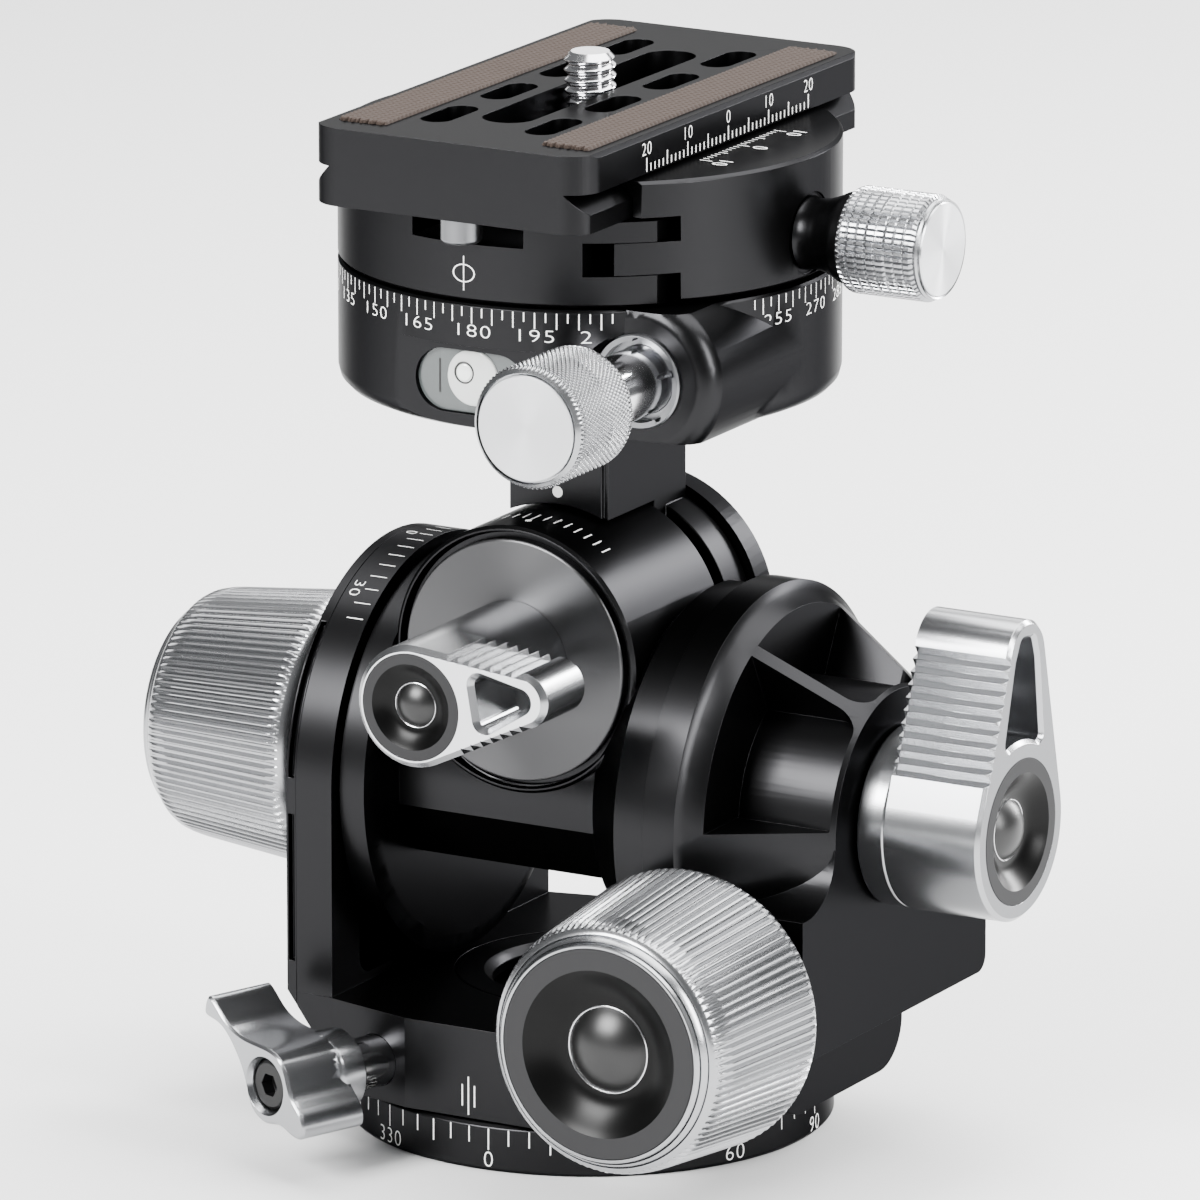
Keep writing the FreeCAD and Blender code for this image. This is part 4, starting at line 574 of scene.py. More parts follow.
@dataclass
class Engraving:
    """White-filled lines, figures and dots gathered into one piece.

    A mark is drawn on an unrolled sheet (s along, t up) and wrap carries it to the surface.

    Attributes:
        name: name of the piece.
        body: the body it rides on.
        wrap: carries rows of (s, t) to points in mm.
        finish: what fills the marks.
    """

    name: str
    body: str
    wrap: Wrap
    finish: Finish = ENGRAVING

    def __post_init__(self) -> None:
        """Start with no marks."""
        self.points: list[np.ndarray] = []
        self.faces: list[list[int]] = []
        self.count = 0

    def add(self, flat: np.ndarray, faces: Sequence[Sequence[int]]) -> None:
        """Add one flat shape.

        Args:
            flat: its corners as (s, t).
            faces: point numbers of each face.
        """
        self.points.append(flat)
        self.faces += [[i + self.count for i in face] for face in faces]
        self.count += len(flat)

    def line(self, s0: float, t0: float, s1: float, t1: float, wide: float) -> None:
        """Add a straight line.

        Args:
            s0, t0: where it starts.
            s1, t1: where it ends.
            wide: its width.
        """
        a, b = np.array([s0, t0]), np.array([s1, t1])
        along = (b - a) / np.hypot(*(b - a))
        off = np.array([-along[1], along[0]]) * wide / 2
        self.add(np.array([a - off, b - off, b + off, a + off]), [[0, 1, 2, 3]])

    def dot(self, s: float, t: float, radius: float, hole: float = 0.0, wide: float = 1.0) -> None:
        """Add a round dot, or a ring when it has a hole.

        Args:
            s, t: its middle.
            radius: its outer radius along t.
            hole: radius of its hole.
            wide: stretches it along s.
        """
        turn = np.arange(32) * 2 * np.pi / 32
        ring = np.stack([wide * np.cos(turn), np.sin(turn)], -1)
        if hole:
            flat = np.concatenate([ring * hole, ring * radius]) + [s, t]
            self.add(flat, grid_faces(2, 32, True).tolist())
        else:
            self.add(ring * radius + [s, t], [list(range(32))])

    def text(self, text: str, s: float, t: float, tall: float, turn_deg: float = 0.0,
             wide: float = 1.0) -> None:
        """Add figures.

        Args:
            text: the figures.
            s, t: their middle.
            tall: their height.
            turn_deg: how far they are turned anticlockwise.
            wide: stretches them along their line.
        """
        flat, faces = WRITER.figures(text)
        a = math.radians(turn_deg)
        turn = np.array([[math.cos(a), math.sin(a)], [-math.sin(a), math.cos(a)]])
        self.add((flat * [wide, 1.0] * tall) @ turn + [s, t], faces)

    def clip(self, keep: Callable[[np.ndarray], np.ndarray]) -> None:
        """Drop the faces of which any corner, once wrapped, isn't kept."""
        clear = keep(self.wrap(np.concatenate(self.points)))
        self.faces = [face for face in self.faces if clear[face].all()]

    def build(self) -> bpy.types.Object:
        """Wrap all marks on to the surface as one piece."""
        points = self.wrap(np.concatenate(self.points))
        return new_piece(self.name, points, self.faces, self.finish, self.body, weld=False)


def round_wrap(spot: Spot, radius: float) -> Wrap:
    """Wrap on a cylinder about a spot's z.

    Args:
        spot: where the cylinder stands.
        radius: its radius in mm.

    Returns:
        What carries (s, t), the arc from the spot's x and the height, to a point in mm.
    """
    def wrap(flat: np.ndarray) -> np.ndarray:
        """Stand each row of (s, t) at angle s / radius and height t.

        Args:
            flat: rows of (s, t).

        Returns:
            Points in mm.
        """
        turn = flat[:, 0] / radius
        r = radius + LIFT
        return spot.place(np.stack([r * np.cos(turn), r * np.sin(turn), flat[:, 1]], -1))
    return wrap


def flat_wrap(spot: Spot) -> Wrap:
    """Lay (s, t) on a flat face, s across and t up, just proud of it."""
    def wrap(flat: np.ndarray) -> np.ndarray:
        """Points in mm of rows of (s, t) on the face."""
        return spot.place(np.column_stack([flat, np.full(len(flat), LIFT)]))
    return wrap


# ---- sub-assemblies


# The tilt axis as a cylinder: the arc runs from the top to the front, the height is x.
TILT_RIM = Spot((0, 0, TILT_Z), (0, 0, 1), (0, -1, 0), (1, 0, 0))


@dataclass
class PanBase:
    """Round base with its degree scale."""

    zero_deg: float = -84.7
    tick_wide: float = 0.17
    tick_long: float = 2.7
    tick_short: float = 2.0
    tick_top: float = 5.45
    figure_tall: float = 2.0
    figure_z: float = 1.6
    every: int = 5
    long_every: int = 15
    figure_every: int = 30

    def build(self) -> None:
        """Dress the disc and engrave its rim."""
        COAT.dress_all(BLACK, pan_base_disc=0.12, pan_retainer=0.0)
        COAT.dress("base_socket_insert", STEEL, 0.0)
        COAT.dress("axle_bolt", STEEL, 0.12)
        low, high = box_mm("pan_base_disc")
        radius = (high[0] - low[0]) / 2
        marks = Engraving("base_degree_scale", "base", round_wrap(Side.UP.at(0, 0, 0), radius))
        for value in range(0, 360, self.every):
            s = math.radians(self.zero_deg + value) * radius
            long = self.tick_long if value % self.long_every == 0 else self.tick_short
            marks.line(s, self.tick_top, s, self.tick_top - long, self.tick_wide)
            if value % self.figure_every == 0:
                marks.text(str(value), s, self.figure_z, self.figure_tall)
        marks.build()


@dataclass
class Frame:
    """Turning frame, its cover, the gear housing and the axle ring."""

    rim_r: float = 26.6
    rim_shift: float = 1.8
    rim_ticks: int = 9
    every: int = 5
    figure_each: int = 6
    tick_from: float = -21.65
    tick_to: float = -23.9
    figure_tick_to: float = -23.5
    figure_x: float = -24.6
    index_x: float = -0.1
    index_z: float = 9.1
    index_gap: float = 0.85
    index_halves: tuple[float, float, float] = (1.35, 2.4, 1.35)

    def build(self) -> None:
        """Dress the solids and engrave the index and the tilt scale."""
        COAT.dress_all(BLACK, base_frame=None, axle_cap=0.1, side_cover=0.1,
                       tilt_gear_housing=0.25, tilt_bush=0.1)
        COAT.dress_all(BLACK_STEEL, cover_screws=0.0, housing_bolts=0.0)
        self.index()
        self.tilt_scale()

    def index(self) -> None:
        """Three upright lines over the base scale."""
        low, _ = box_mm("base_frame")
        marks = Engraving("pan_index_lines", "frame",
                          flat_wrap(Side.FRONT.at(self.index_x, low[1], 0)))
        for s, half in zip((-self.index_gap, 0.0, self.index_gap), self.index_halves):
            marks.line(s, self.index_z - half, s, self.index_z + half, 0.18)
        marks.build()

    def tilt_scale(self) -> None:
        """Degree lines on the rim of the upright, zero at the top."""
        marks = Engraving("tilt_degree_scale", "frame", round_wrap(TILT_RIM, self.rim_r))
        for step in range(-self.rim_ticks + 1, self.rim_ticks):
            s = math.radians(step * self.every + self.rim_shift) * self.rim_r
            figure = step % self.figure_each == 0
            marks.line(s, self.figure_tick_to if figure else self.tick_to, s, self.tick_from, 0.13)
            if figure:
                marks.text(str(abs(step * self.every)), s, self.figure_x, 1.45, wide=1.3)
        marks.build()


@dataclass
class TiltCarrier:
    """Tilt body with the barrel, its caps and the roll scale."""

    barrel_r: float = 16.6
    tick_y: float = -13.0
    tick_half: float = 1.0
    zero_half: float = 1.9
    ticks: int = 7
    every: int = 5
    rim_r: float = 25.3
    rim_x: float = -18.6
    rim_turn: float = 1.8

    def build(self) -> None:
        """Dress the body and engrave the roll scale and the tilt dot."""
        COAT.dress_all(BLACK, tilt_body=None, rear_cap=0.1)
        # The barrel cap takes the paler grey copy of the black anodising: a painted sheen.
        COAT.dress("barrel_cap", BLACK_DISC_PAINTED_SHEEN, 0.1)
        COAT.dress_all(BRONZE, roll_bush=0.0, tilt_wheel=0.0)
        COAT.dress_all(STEEL, tilt_pivot_shaft=0.0, roll_shaft=0.0)
        spot = Spot((0, 0, ROLL_Z), (0, 0, 1), (1, 0, 0), (0, 1, 0))
        marks = Engraving("roll_degree_scale", "tilt_carrier", round_wrap(spot, self.barrel_r))
        for step in range(-self.ticks, self.ticks + 1):
            s = math.radians(step * self.every) * self.barrel_r
            low = self.tick_y - (self.tick_half if step else self.zero_half)
            marks.line(s, low, s, self.tick_y + self.tick_half, 0.17)
        marks.dot(0.0, self.tick_y - 2.1, 0.42)
        marks.build()
        dot = Engraving("tilt_zero_dot", "tilt_carrier", round_wrap(TILT_RIM, self.rim_r))
        dot.dot(math.radians(self.rim_turn) * self.rim_r, self.rim_x, 0.5)
        dot.build()


@dataclass
class EndPlug:
    """Black plug with a dished face and a low dome, let into a knob or lever.

    Attributes:
        node: the solid it stands in for.
        radius, spot, body: its size, place and body.
        dish, dish_deep, dome, dome_rise, wire: shares of the radius that the dish, its depth, the
        dome, the dome's own radius and the steel ring painted round the dome as a glint take.
        proud: how far the rim stands out.
    """

    node: str
    radius: float
    spot: Spot
    body: str
    dish: float = 0.80
    dish_deep: float = 0.195
    dome: float = 0.41
    dome_rise: float = 0.42
    wire: float = 0.011
    proud: float = 0.05

    def build(self) -> None:
        """Turn the rim, the dish, the dome and a thin steel ring round the dome that stands in for
        the glint on its edge: a painted highlight.

        The dish falls as sin(f pi / 2) to the power 1.1 while f runs from its rim to the dome.
        """
        r, proud = self.radius, self.proud
        dish_r, deep, dome_r = r * self.dish, r * self.dish_deep, r * self.dome
        rise = dome_r * self.dome_rise
        ball = (dome_r ** 2 + rise ** 2) / (2 * rise)
        rim = dense([(r, -0.3), (r, -0.08), (r - 0.12, proud), (dish_r, proud)], 0.3)
        first = turned(self.node + "_rim", rim, 128, self.spot, ABS_RIM, self.body)
        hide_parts(self.node)
        f = np.arange(13) / 12
        bowl = np.stack([dish_r + (dome_r + 0.12 - dish_r) * f,
                         proud - deep * np.sin(f * np.pi / 2) ** 1.1], -1)
        turned(self.node + "_dish", bowl, 128, self.spot, ABS_GLOSS, self.body, 50.0)
        out = dome_r * np.linspace(1, 0, 15)
        cap = np.stack([out, -deep + np.sqrt(ball ** 2 - out ** 2) - (ball - rise)], -1)
        turned(self.node + "_dome", cap, 128, self.spot, ABS_DOME, self.body, 50.0)
        # A thin polished-steel ring round the foot of the dome: a painted highlight standing in for
        # the glint on the dome's edge.
        turn = np.linspace(0, 2 * np.pi, 9)[:-1]
        wire = self.wire * r
        ring = np.stack([dome_r + 0.03 + wire * np.cos(turn),
                         proud - deep + wire * np.sin(turn)], -1)
        turned(self.node + "_line", np.concatenate([ring, ring[:1]]), 96, self.spot, STEEL,
               self.body)


@dataclass
class FlutedKnob:
    """Large control knob, tapered to the front, with straight flutes and turned rings.

    Attributes:
        node, spot, body: the solid it stands in for, its place and its body.
        neck: length of the hub behind it.
        flutes, deep: how many flutes and how deep.
        long, back_r, front_r: its length and radii.
        back_bevel, front_bevel: length of the plain ends.
        plug_r: radius of the plug in its end.
    """

    node: str
    spot: Spot
    body: str
    neck: float = 0.0
    flutes: int = 100
    deep: float = 0.5
    long: float = KNOB_LONG
    back_r: float = 17.3
    front_r: float = 15.7
    back_bevel: float = 3.0
    front_bevel: float = 4.8
    plug_r: float = KNOB_PLUG_R

    def build(self) -> None:
        """Turn the fluted shell, from the neck round to the seat of its plug."""
        back, r, end = self.back_r, self.front_r, self.long
        outline = [(back - 1.9, 0.0), (back - 1.5, 0.25), (back - 0.95, 0.8), (back - 0.5, 1.5),
                   (back - 0.15, 2.3), (back, self.back_bevel), (r, end - self.front_bevel),
                   (r - 0.12, end - 4.0), (r - 0.28, end - 3.2), (r - 0.5, end - 2.4),
                   (r - 0.85, end - 1.8), (r - 1.3, end - 1.4), (r - 1.45, end - 1.35),
                   (r - 1.52, end - 1.6), (r - 1.62, end - 1.3), (r - 1.85, end - 0.9),
                   (r - 2.1, end - 0.6), (r - 2.2, end - 0.85), (r - 2.3, end - 0.45),
                   (r - 2.42, end - 0.12), (r - 2.55, end), (self.plug_r + 0.1, end - 0.04),
                   (self.plug_r, end - 0.2), (self.plug_r, end - 1.0)]
        if self.neck:
            outline = [(0.0, -self.neck), (8.7, -self.neck), (9.0, 0.3 - self.neck),
                       (9.0, -0.02)] + outline
        else:
            outline = [(4.0, 0.0)] + outline
        run = end - self.back_bevel - self.front_bevel

        def flute(rad: np.ndarray, turn: np.ndarray, height: np.ndarray) -> np.ndarray:
            """Cut V grooves below the tapered skin; they run out on the bevels.

            Args:
                rad, turn, height: radius of the plain profile, angle and place along the axis.

            Returns:
                The radius of the skin.
            """
            phase = turn * self.flutes / (2 * np.pi) % 1.0
            crest = np.clip((np.abs(phase - 0.5) - 0.16) / 0.24, 0, 1)
            outer = back - (back - r) * (height - self.back_bevel) / run
            skin = outer - self.deep * (1 - crest)
            fluted = (rad > r - 0.9) & (height > 0.05)
            return np.where(fluted, np.minimum(rad, skin), rad)

        piece = turned(self.node + "_fluted", dense(outline, 0.42), self.flutes * 8, self.spot,
                       SILVER, self.body, 24.0, flute)
        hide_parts(self.node)


@dataclass
class KnurledKnob:
    """Small clamping knob with rows of raised blocks or diamonds.

    Attributes:
        node, face_node: the solids that the barrel and its end stand in for.
        spot, body: its axis and its body.
        near, far, radius, face_r: where it starts and ends along the axis, and its radii.
        around, rows, diamond, deep: how many marks round and along, their shape and depth.
        face_rough, stretch: how its end spreads the light.
    """

    node: str
    face_node: str
    spot: Spot
    near: float
    far: float
    radius: float
    face_r: float
    body: str
    around: int
    rows: int
    diamond: bool
    deep: float = 0.32
    face_rough: float = 0.30
    stretch: float = 0.9

    def build(self) -> None:
        """Turn the knurled barrel, then its faced end."""
        r = self.radius
        outline = [(4.2, self.near), (r - 0.7, self.near), (r - 0.15, self.near + 0.45),
                   (r, self.near + 0.9), (r, self.far - 1.3), (r - 0.35, self.far - 0.6),
                   (r - 0.75, self.far - 0.2), (self.face_r + 0.26, self.far - 0.1),
                   (self.face_r + 0.2, self.far - 0.7), (self.face_r - 0.1, self.far - 0.7)]
        start, end = self.near + 0.5, self.far - 0.9

        def knurl(rad: np.ndarray, turn: np.ndarray, height: np.ndarray) -> np.ndarray:
            """Raise blocks row by row, or diamonds with a pit where their grooves cross.

            Args:
                rad, turn, height: radius of the plain profile, angle and place along the axis.

            Returns:
                The radius of the skin.
            """
            v = (height - start) / (end - start) * self.rows
            u = turn / (2 * np.pi) * self.around
            if self.diamond:
                a = np.clip(3.2 * (0.5 - np.abs((u + v / 2) % 1.0 - 0.5)), 0, 1)
                b = np.clip(3.2 * (0.5 - np.abs((u - v / 2) % 1.0 - 0.5)), 0, 1)
                rise = 0.4 * np.minimum(a, b) + 0.6 * np.maximum(a, b)
            else:
                a = np.clip((0.5 - np.abs(u % 1.0 - 0.5)) * 4.0, 0, 1)
                b = np.clip((0.5 - np.abs(v % 1.0 - 0.5)) * 9.0, 0, 1)
                rise = np.minimum(a, b)
            inside = (height > start) & (height < end) & (rad > r - 0.3)
            return np.where(inside, rad - self.deep * (1 - rise), rad)

        parts = dense(outline, 0.5)
        band = (parts[:, 1] >= self.near + 0.9) & (parts[:, 1] <= self.far - 1.3)
        fine = dense([(r, self.near + 0.9), (r, self.far - 1.3)],
                     (end - start) / self.rows / (5 if self.diamond else 9))
        first, last = np.flatnonzero(band)[[0, -1]]
        profile = np.concatenate([parts[:first], fine, parts[last + 1:]])
        piece = turned(self.node + "_knurled", profile, self.around * (6 if self.diamond else 8),
                       self.spot, SILVER, self.body, 28.0, knurl)
        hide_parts(self.node)
        keep = tuple(1.0 - abs(c) for c in self.spot.out)
        finish = TurnedFinish("Turned_end_face_" + self.body, "silver_satin", "#CFD0D2",
                              self.face_rough, metal=1.0, centre=self.spot.origin, keep=keep,
                              stretch=self.stretch)
        disc = [(self.face_r, self.far - 0.5), (self.face_r, self.far - 0.15),
                (self.face_r - 0.15, self.far), (0.0, self.far)]
        face = turned(self.face_node + "_turned", dense(disc, 0.6), 96, self.spot, finish,
                      self.body)
        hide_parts(self.face_node)


@dataclass
class CameraScrew:
    """Quarter-inch screw with a real thread and a plain head below."""

    core_r: float = 2.62
    crest_r: float = 3.175
    pitch: float = 1.27
    low: float = 119.3
    head_top: float = 121.9
    head_r: float = 5.2

    def build(self) -> None:
        """Wind the thread and turn the head.

        The thread's radius follows a blunt V of the height less the turn's share of a pitch.
        """
        _, high = box_mm("camera_screw")
        top = high[2]
        rows = dense([(self.crest_r, self.head_top), (self.crest_r, top - 0.85),
                      (self.crest_r - 0.85, top), (0.0, top)], 0.07)

        def thread(rad: np.ndarray, turn: np.ndarray, height: np.ndarray) -> np.ndarray:
            """Blunt V thread below the chamfer, fading into the plain shank.

            Args:
                rad, turn, height: radius of the plain profile, angle and place along the axis.

            Returns:
                The radius of the skin.
            """
            phase = (height / self.pitch - turn / (2 * np.pi)) % 1.0
            v = np.clip((np.abs(phase - 0.5) * 2 - 0.12) / 0.76, 0, 1)
            skin = self.core_r + (self.crest_r - self.core_r) * v
            return np.minimum(rad, np.where(height < top - 1e-6, skin, self.core_r))

        piece = turned("camera_screw_thread", rows, 72, Side.UP.at(0, 0, 0), STEEL, "screw", 40.0,
                       thread)
        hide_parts("camera_screw")
        head = [(0.0, self.low), (self.head_r - 0.4, self.low), (self.head_r, self.low + 0.4),
                (self.head_r, self.head_top), (self.core_r - 0.2, self.head_top)]
        turned("camera_screw_head", dense(head, 0.8), 72, Side.UP.at(0, 0, 0), STEEL, "screw")


@dataclass
class Levers:
    """The two lock levers and the wing of the pan lock."""

    roll_plug_r: float = 6.6
    tilt_plug_r: float = 9.0

    def build(self) -> None:
        """Dress the levers and fit their plugs."""
        COAT.dress_all(SILVER, wing_lever=0.2, tilt_lever_hub=0.15)
        # The tilt lever's right face takes a darker copy of the silver as painted shade, the roll
        # lever's front face a paler one as painted light.
        COAT.dress("tilt_lever", SILVER, 0.14, (Side.RIGHT, SILVER_PAINTED_SHADE))
        COAT.dress("roll_lever", SILVER, 0.14, (Side.FRONT, SILVER_PAINTED_LIGHT))
        COAT.dress("wing_lever_screw", BLACK_STEEL, 0.1)
        COAT.dress_all(STEEL, wing_lever_stud=0.0, roll_lever_stud=0.0)
        face = box_mm("roll_lever")[0][1]
        EndPlug("roll_lever_insert", self.roll_plug_r, Side.FRONT.at(0, face, ROLL_Z),
                "roll_lock").build()
        face = box_mm("tilt_lever")[1][0]
        EndPlug("tilt_lever_insert", self.tilt_plug_r, Side.RIGHT.at(face, 0, TILT_Z),
                "tilt_lock").build()


@dataclass
class Knobs:
    """The two geared control knobs with their worms.

    Attributes:
        roll_near: how far out the fluted part of the roll knob starts.
        roll_hub: how far out its hub starts.
    """

    roll_near: float = 32.7
    roll_hub: float = 27.9

    def build(self) -> None:
        """Turn both knobs and their plugs and dress the worms."""
        x, z = TILT_WORM
        FlutedKnob("tilt_knob", Side.FRONT.at(x, -TILT_KNOB_NEAR, z), "tilt_control").build()
        face = Side.FRONT.at(x, -TILT_KNOB_NEAR - KNOB_LONG, z)
        EndPlug("tilt_knob_insert", KNOB_PLUG_R, face, "tilt_control").build()
        end = ROLL_KNOB_NEAR + KNOB_LONG
        left = Side.LEFT.at(-self.roll_near, 0, TILT_Z)
        FlutedKnob("roll_knob", left, "roll_control", neck=self.roll_near - self.roll_hub,
                   long=end - self.roll_near).build()
        face = Side.LEFT.at(-end, 0, TILT_Z)
        EndPlug("roll_knob_insert", KNOB_PLUG_R, face, "roll_control").build()
        COAT.dress_all(STEEL, tilt_worm=0.0, roll_worm=0.0)


@dataclass
class Panorama:
    """Post and the scale ring with its level and lock."""

    label_start: float = 92.0
    lines: int = 144
    figure_each: int = 6
    line_top: float = 0.4
    line_long: float = 1.95
    line_short: float = 1.15
    figure_drop: float = 3.2
    boss_left: float = 6.6
    boss_right: float = 10.3
    dot_y: float = -8.0
    dot_z: float = 79.6
    dot_r: float = 0.7

    def build(self) -> None:
        """Dress the solids, engrave the ring and fit the lock and level."""
        COAT.dress_all(BLACK, roll_arm=None, top_scale_ring=None)
        COAT.dress("roll_wheel", BRONZE, 0.0)
        COAT.dress("ring_screws", BLACK_STEEL, 0.0)
        COAT.dress("top_lock_collar", RING_STEEL, 0.1)
        COAT.dress("top_lock_stud", STEEL, 0.0)
        KnurledKnob("top_lock_knob", "top_lock_face", Side.FRONT.at(LOCK_AXIS[0], 0, LOCK_AXIS[1]),
                    near=38.3, far=51.3, radius=7.5, face_r=6.4, body="top_lock", around=78,
                    rows=24, diamond=True, deep=0.5, face_rough=0.45, stretch=0.3).build()
        self.ring_scale()
        self.post_dot()
        Level().build()

    def ring_scale(self) -> None:
        """Lines all round, every second one longer, with the figures below."""
        low, high = box_mm("top_scale_ring")
        radius, top = (high[0] - low[0]) / 2, high[2]
        marks = Engraving("panorama_degree_scale", "post", round_wrap(Side.UP.at(0, 0, 0), radius))
        for step in range(self.lines):
            value = step * 360 / self.lines
            angle = (value + self.label_start + 180) % 360 - 180
            s = math.radians(angle) * radius
            long = self.line_long if step % 2 == 0 else self.line_short
            marks.line(s, top - self.line_top, s, top - self.line_top - long, 0.15)
            if step % self.figure_each == 0:
                marks.text(str(int(value)), s, top - self.figure_drop, 1.55, wide=1.45)
        marks.clip(self.off_the_boss)
        marks.build()

    def off_the_boss(self, points: np.ndarray) -> np.ndarray:
        """Tell which points clear the round boss of the lock, which stands out of the ring.

        Args:
            points: rows of (x, y, z) in mm.

        Returns:
            True for each point that clears it.
        """
        reach = np.hypot(points[:, 0] - LOCK_AXIS[0], points[:, 2] - LOCK_AXIS[1])
        room = np.where(points[:, 0] < LOCK_AXIS[0], self.boss_left, self.boss_right)
        return (points[:, 1] > 0) | (reach > room)

    def post_dot(self) -> None:
        """Index dot on the front of the post."""
        dot = Engraving("roll_index_dot", "post",
                        flat_wrap(Side.FRONT.at(0, self.dot_y, self.dot_z)))
        dot.dot(0, 0, self.dot_r)
        dot.build()


@dataclass
class Level:
    """Window of the level: a pane painted dark as painted shade, a clear round chamber, two lines
    and a bubble painted pale with a dark painted edge.
    """

    face_y: float = -28.2
    pane_z: float = 97.6
    pane_r: float = 3.84
    pane_reach: float = 3.72
    chamber_z: float = 98.1
    chamber_r: float = 3.45
    line_z: float = 97.9
    line_x: float = 4.6
    line_half: float = 2.1
    line_wide: float = 0.26
    bubble_x: float = -1.0
    bubble_z: float = 98.7
    bubble_r: float = 1.15
    bubble_out: float = 0.35
    rim_r: float = 1.25
    rim_wire: float = 0.12

    def build(self) -> None:
        """Dress the solids and lay the window over them."""
        COAT.dress("level_body", CRADLE, 0.0)
        COAT.dress("level_vial", VIAL, 0.0)
        face = flat_wrap(Side.FRONT.at(0, self.face_y, self.pane_z))
        # The pane is painted dark grey: painted shade of the recess seen through the acrylic.
        pane = Engraving("level_pane", "post", face, PANE_PAINTED_SHADE)
        turn = np.linspace(-np.pi / 2, np.pi / 2, 25)
        bend = np.stack([self.pane_reach + self.pane_r * np.cos(turn),
                         self.pane_r * np.sin(turn)], -1)
        pane.add(np.concatenate([bend, -bend]), [list(range(2 * len(bend)))])
        pane.build()
        r = self.chamber_r
        chamber = dense([(r, 0.0), (r, 0.2), (r - 0.15, 0.32), (1.6, 0.5), (0.0, 0.55)], 0.3)
        turned("level_chamber", chamber, 72, Side.FRONT.at(0, self.face_y, self.chamber_z), VIAL,
               "post", 60.0)
        face = flat_wrap(Side.FRONT.at(0, self.face_y - 0.03, self.line_z))
        lines = Engraving("level_lines", "post", face, INK_AND_BUBBLE_SHADE)
        for x in (-self.line_x, self.line_x):
            lines.line(x, -self.line_half, x, self.line_half, self.line_wide)
        lines.build()
        spot = Side.FRONT.at(self.bubble_x, self.face_y - self.bubble_out, self.bubble_z)
        # The bubble: a low lens painted pale, a painted highlight.
        t = np.linspace(np.pi / 2, 0, 9)
        lens = np.stack([self.bubble_r * np.sin(t), 0.3 * np.cos(t)], -1)
        turned("level_bubble", lens, 48, spot, BUBBLE_PAINTED_HIGHLIGHT, "post", 80.0)
        # Its dark edge: a thin ring in the vial ink, painted shade.
        t = np.linspace(0, 2 * np.pi, 9)
        rim = np.stack([self.rim_r + self.rim_wire * np.cos(t),
                        0.15 + self.rim_wire * np.sin(t)], -1)
        turned("level_bubble_edge_painted_shade", rim, 48, spot, INK_AND_BUBBLE_SHADE, "post")


@dataclass
class Clamp:
    """Panorama clamp with its sliding jaw and knob."""

    round_r: float = 30.5
    index_low: float = 109.3
    index_high: float = 113.5
    scale_z: float = 123.2
    scale_x: float = 20.2
    scale_step: float = 0.92

    def build(self) -> None:
        """Dress the clamp, fit its knob and engrave it."""
        COAT.dress_all(BLACK, clamp_body=None, clamp_jaw=None)
        COAT.dress_all(STEEL, jaw_guide_pins=0.0, clamp_screw=0.0)
        axis = Side.RIGHT.at(0, 0, CLAMP_AXIS_Z)
        neck = [(2.4, 30.2), (4.5, 30.2), (4.3, 30.8), (4.25, 31.6), (4.4, 32.8), (4.9, 34.2),
                (5.5, 35.4), (5.8, 36.65), (2.4, 36.65)]
        turned("clamp_knob_neck", dense(neck, 0.5), 96, axis, BLACK, "clamp_control")
        KnurledKnob("clamp_knob", "clamp_knob_cap", axis, near=36.6, far=48.2, radius=6.5,
                    face_r=5.7, body="clamp_control", around=56, rows=8, diamond=False, deep=0.4,
                    face_rough=0.28).build()
        self.index()
        self.jaw_scale()

    def index(self) -> None:
        """Upright line through a flat ring, on the front of the clamp."""
        marks = Engraving("clamp_index", "clamp", round_wrap(Side.UP.at(0, 0, 0), self.round_r))
        s = -math.pi / 2 * self.round_r
        marks.line(s, self.index_low, s, self.index_high, 0.13)
        marks.dot(s, (self.index_low + self.index_high) / 2, 1.12, 0.99, 1.35)
        marks.build()

    def jaw_scale(self) -> None:
        """Lines and figures on top of the jaw, read from outside."""
        scale = Engraving("jaw_scale", "jaw", flat_wrap(Side.UP.at(0, 0, self.scale_z)))
        for step in range(-10, 11):
            long = 1.7 if step % 10 == 0 else 1.3 if step % 5 == 0 else 0.8
            at = step * self.scale_step
            scale.line(self.scale_x, at, self.scale_x + long, at, 0.15)
        for value in (-10, 0, 10):
            scale.text(str(abs(value)), self.scale_x + 3.2, value * self.scale_step, 2.0, -90.0)
        scale.build()


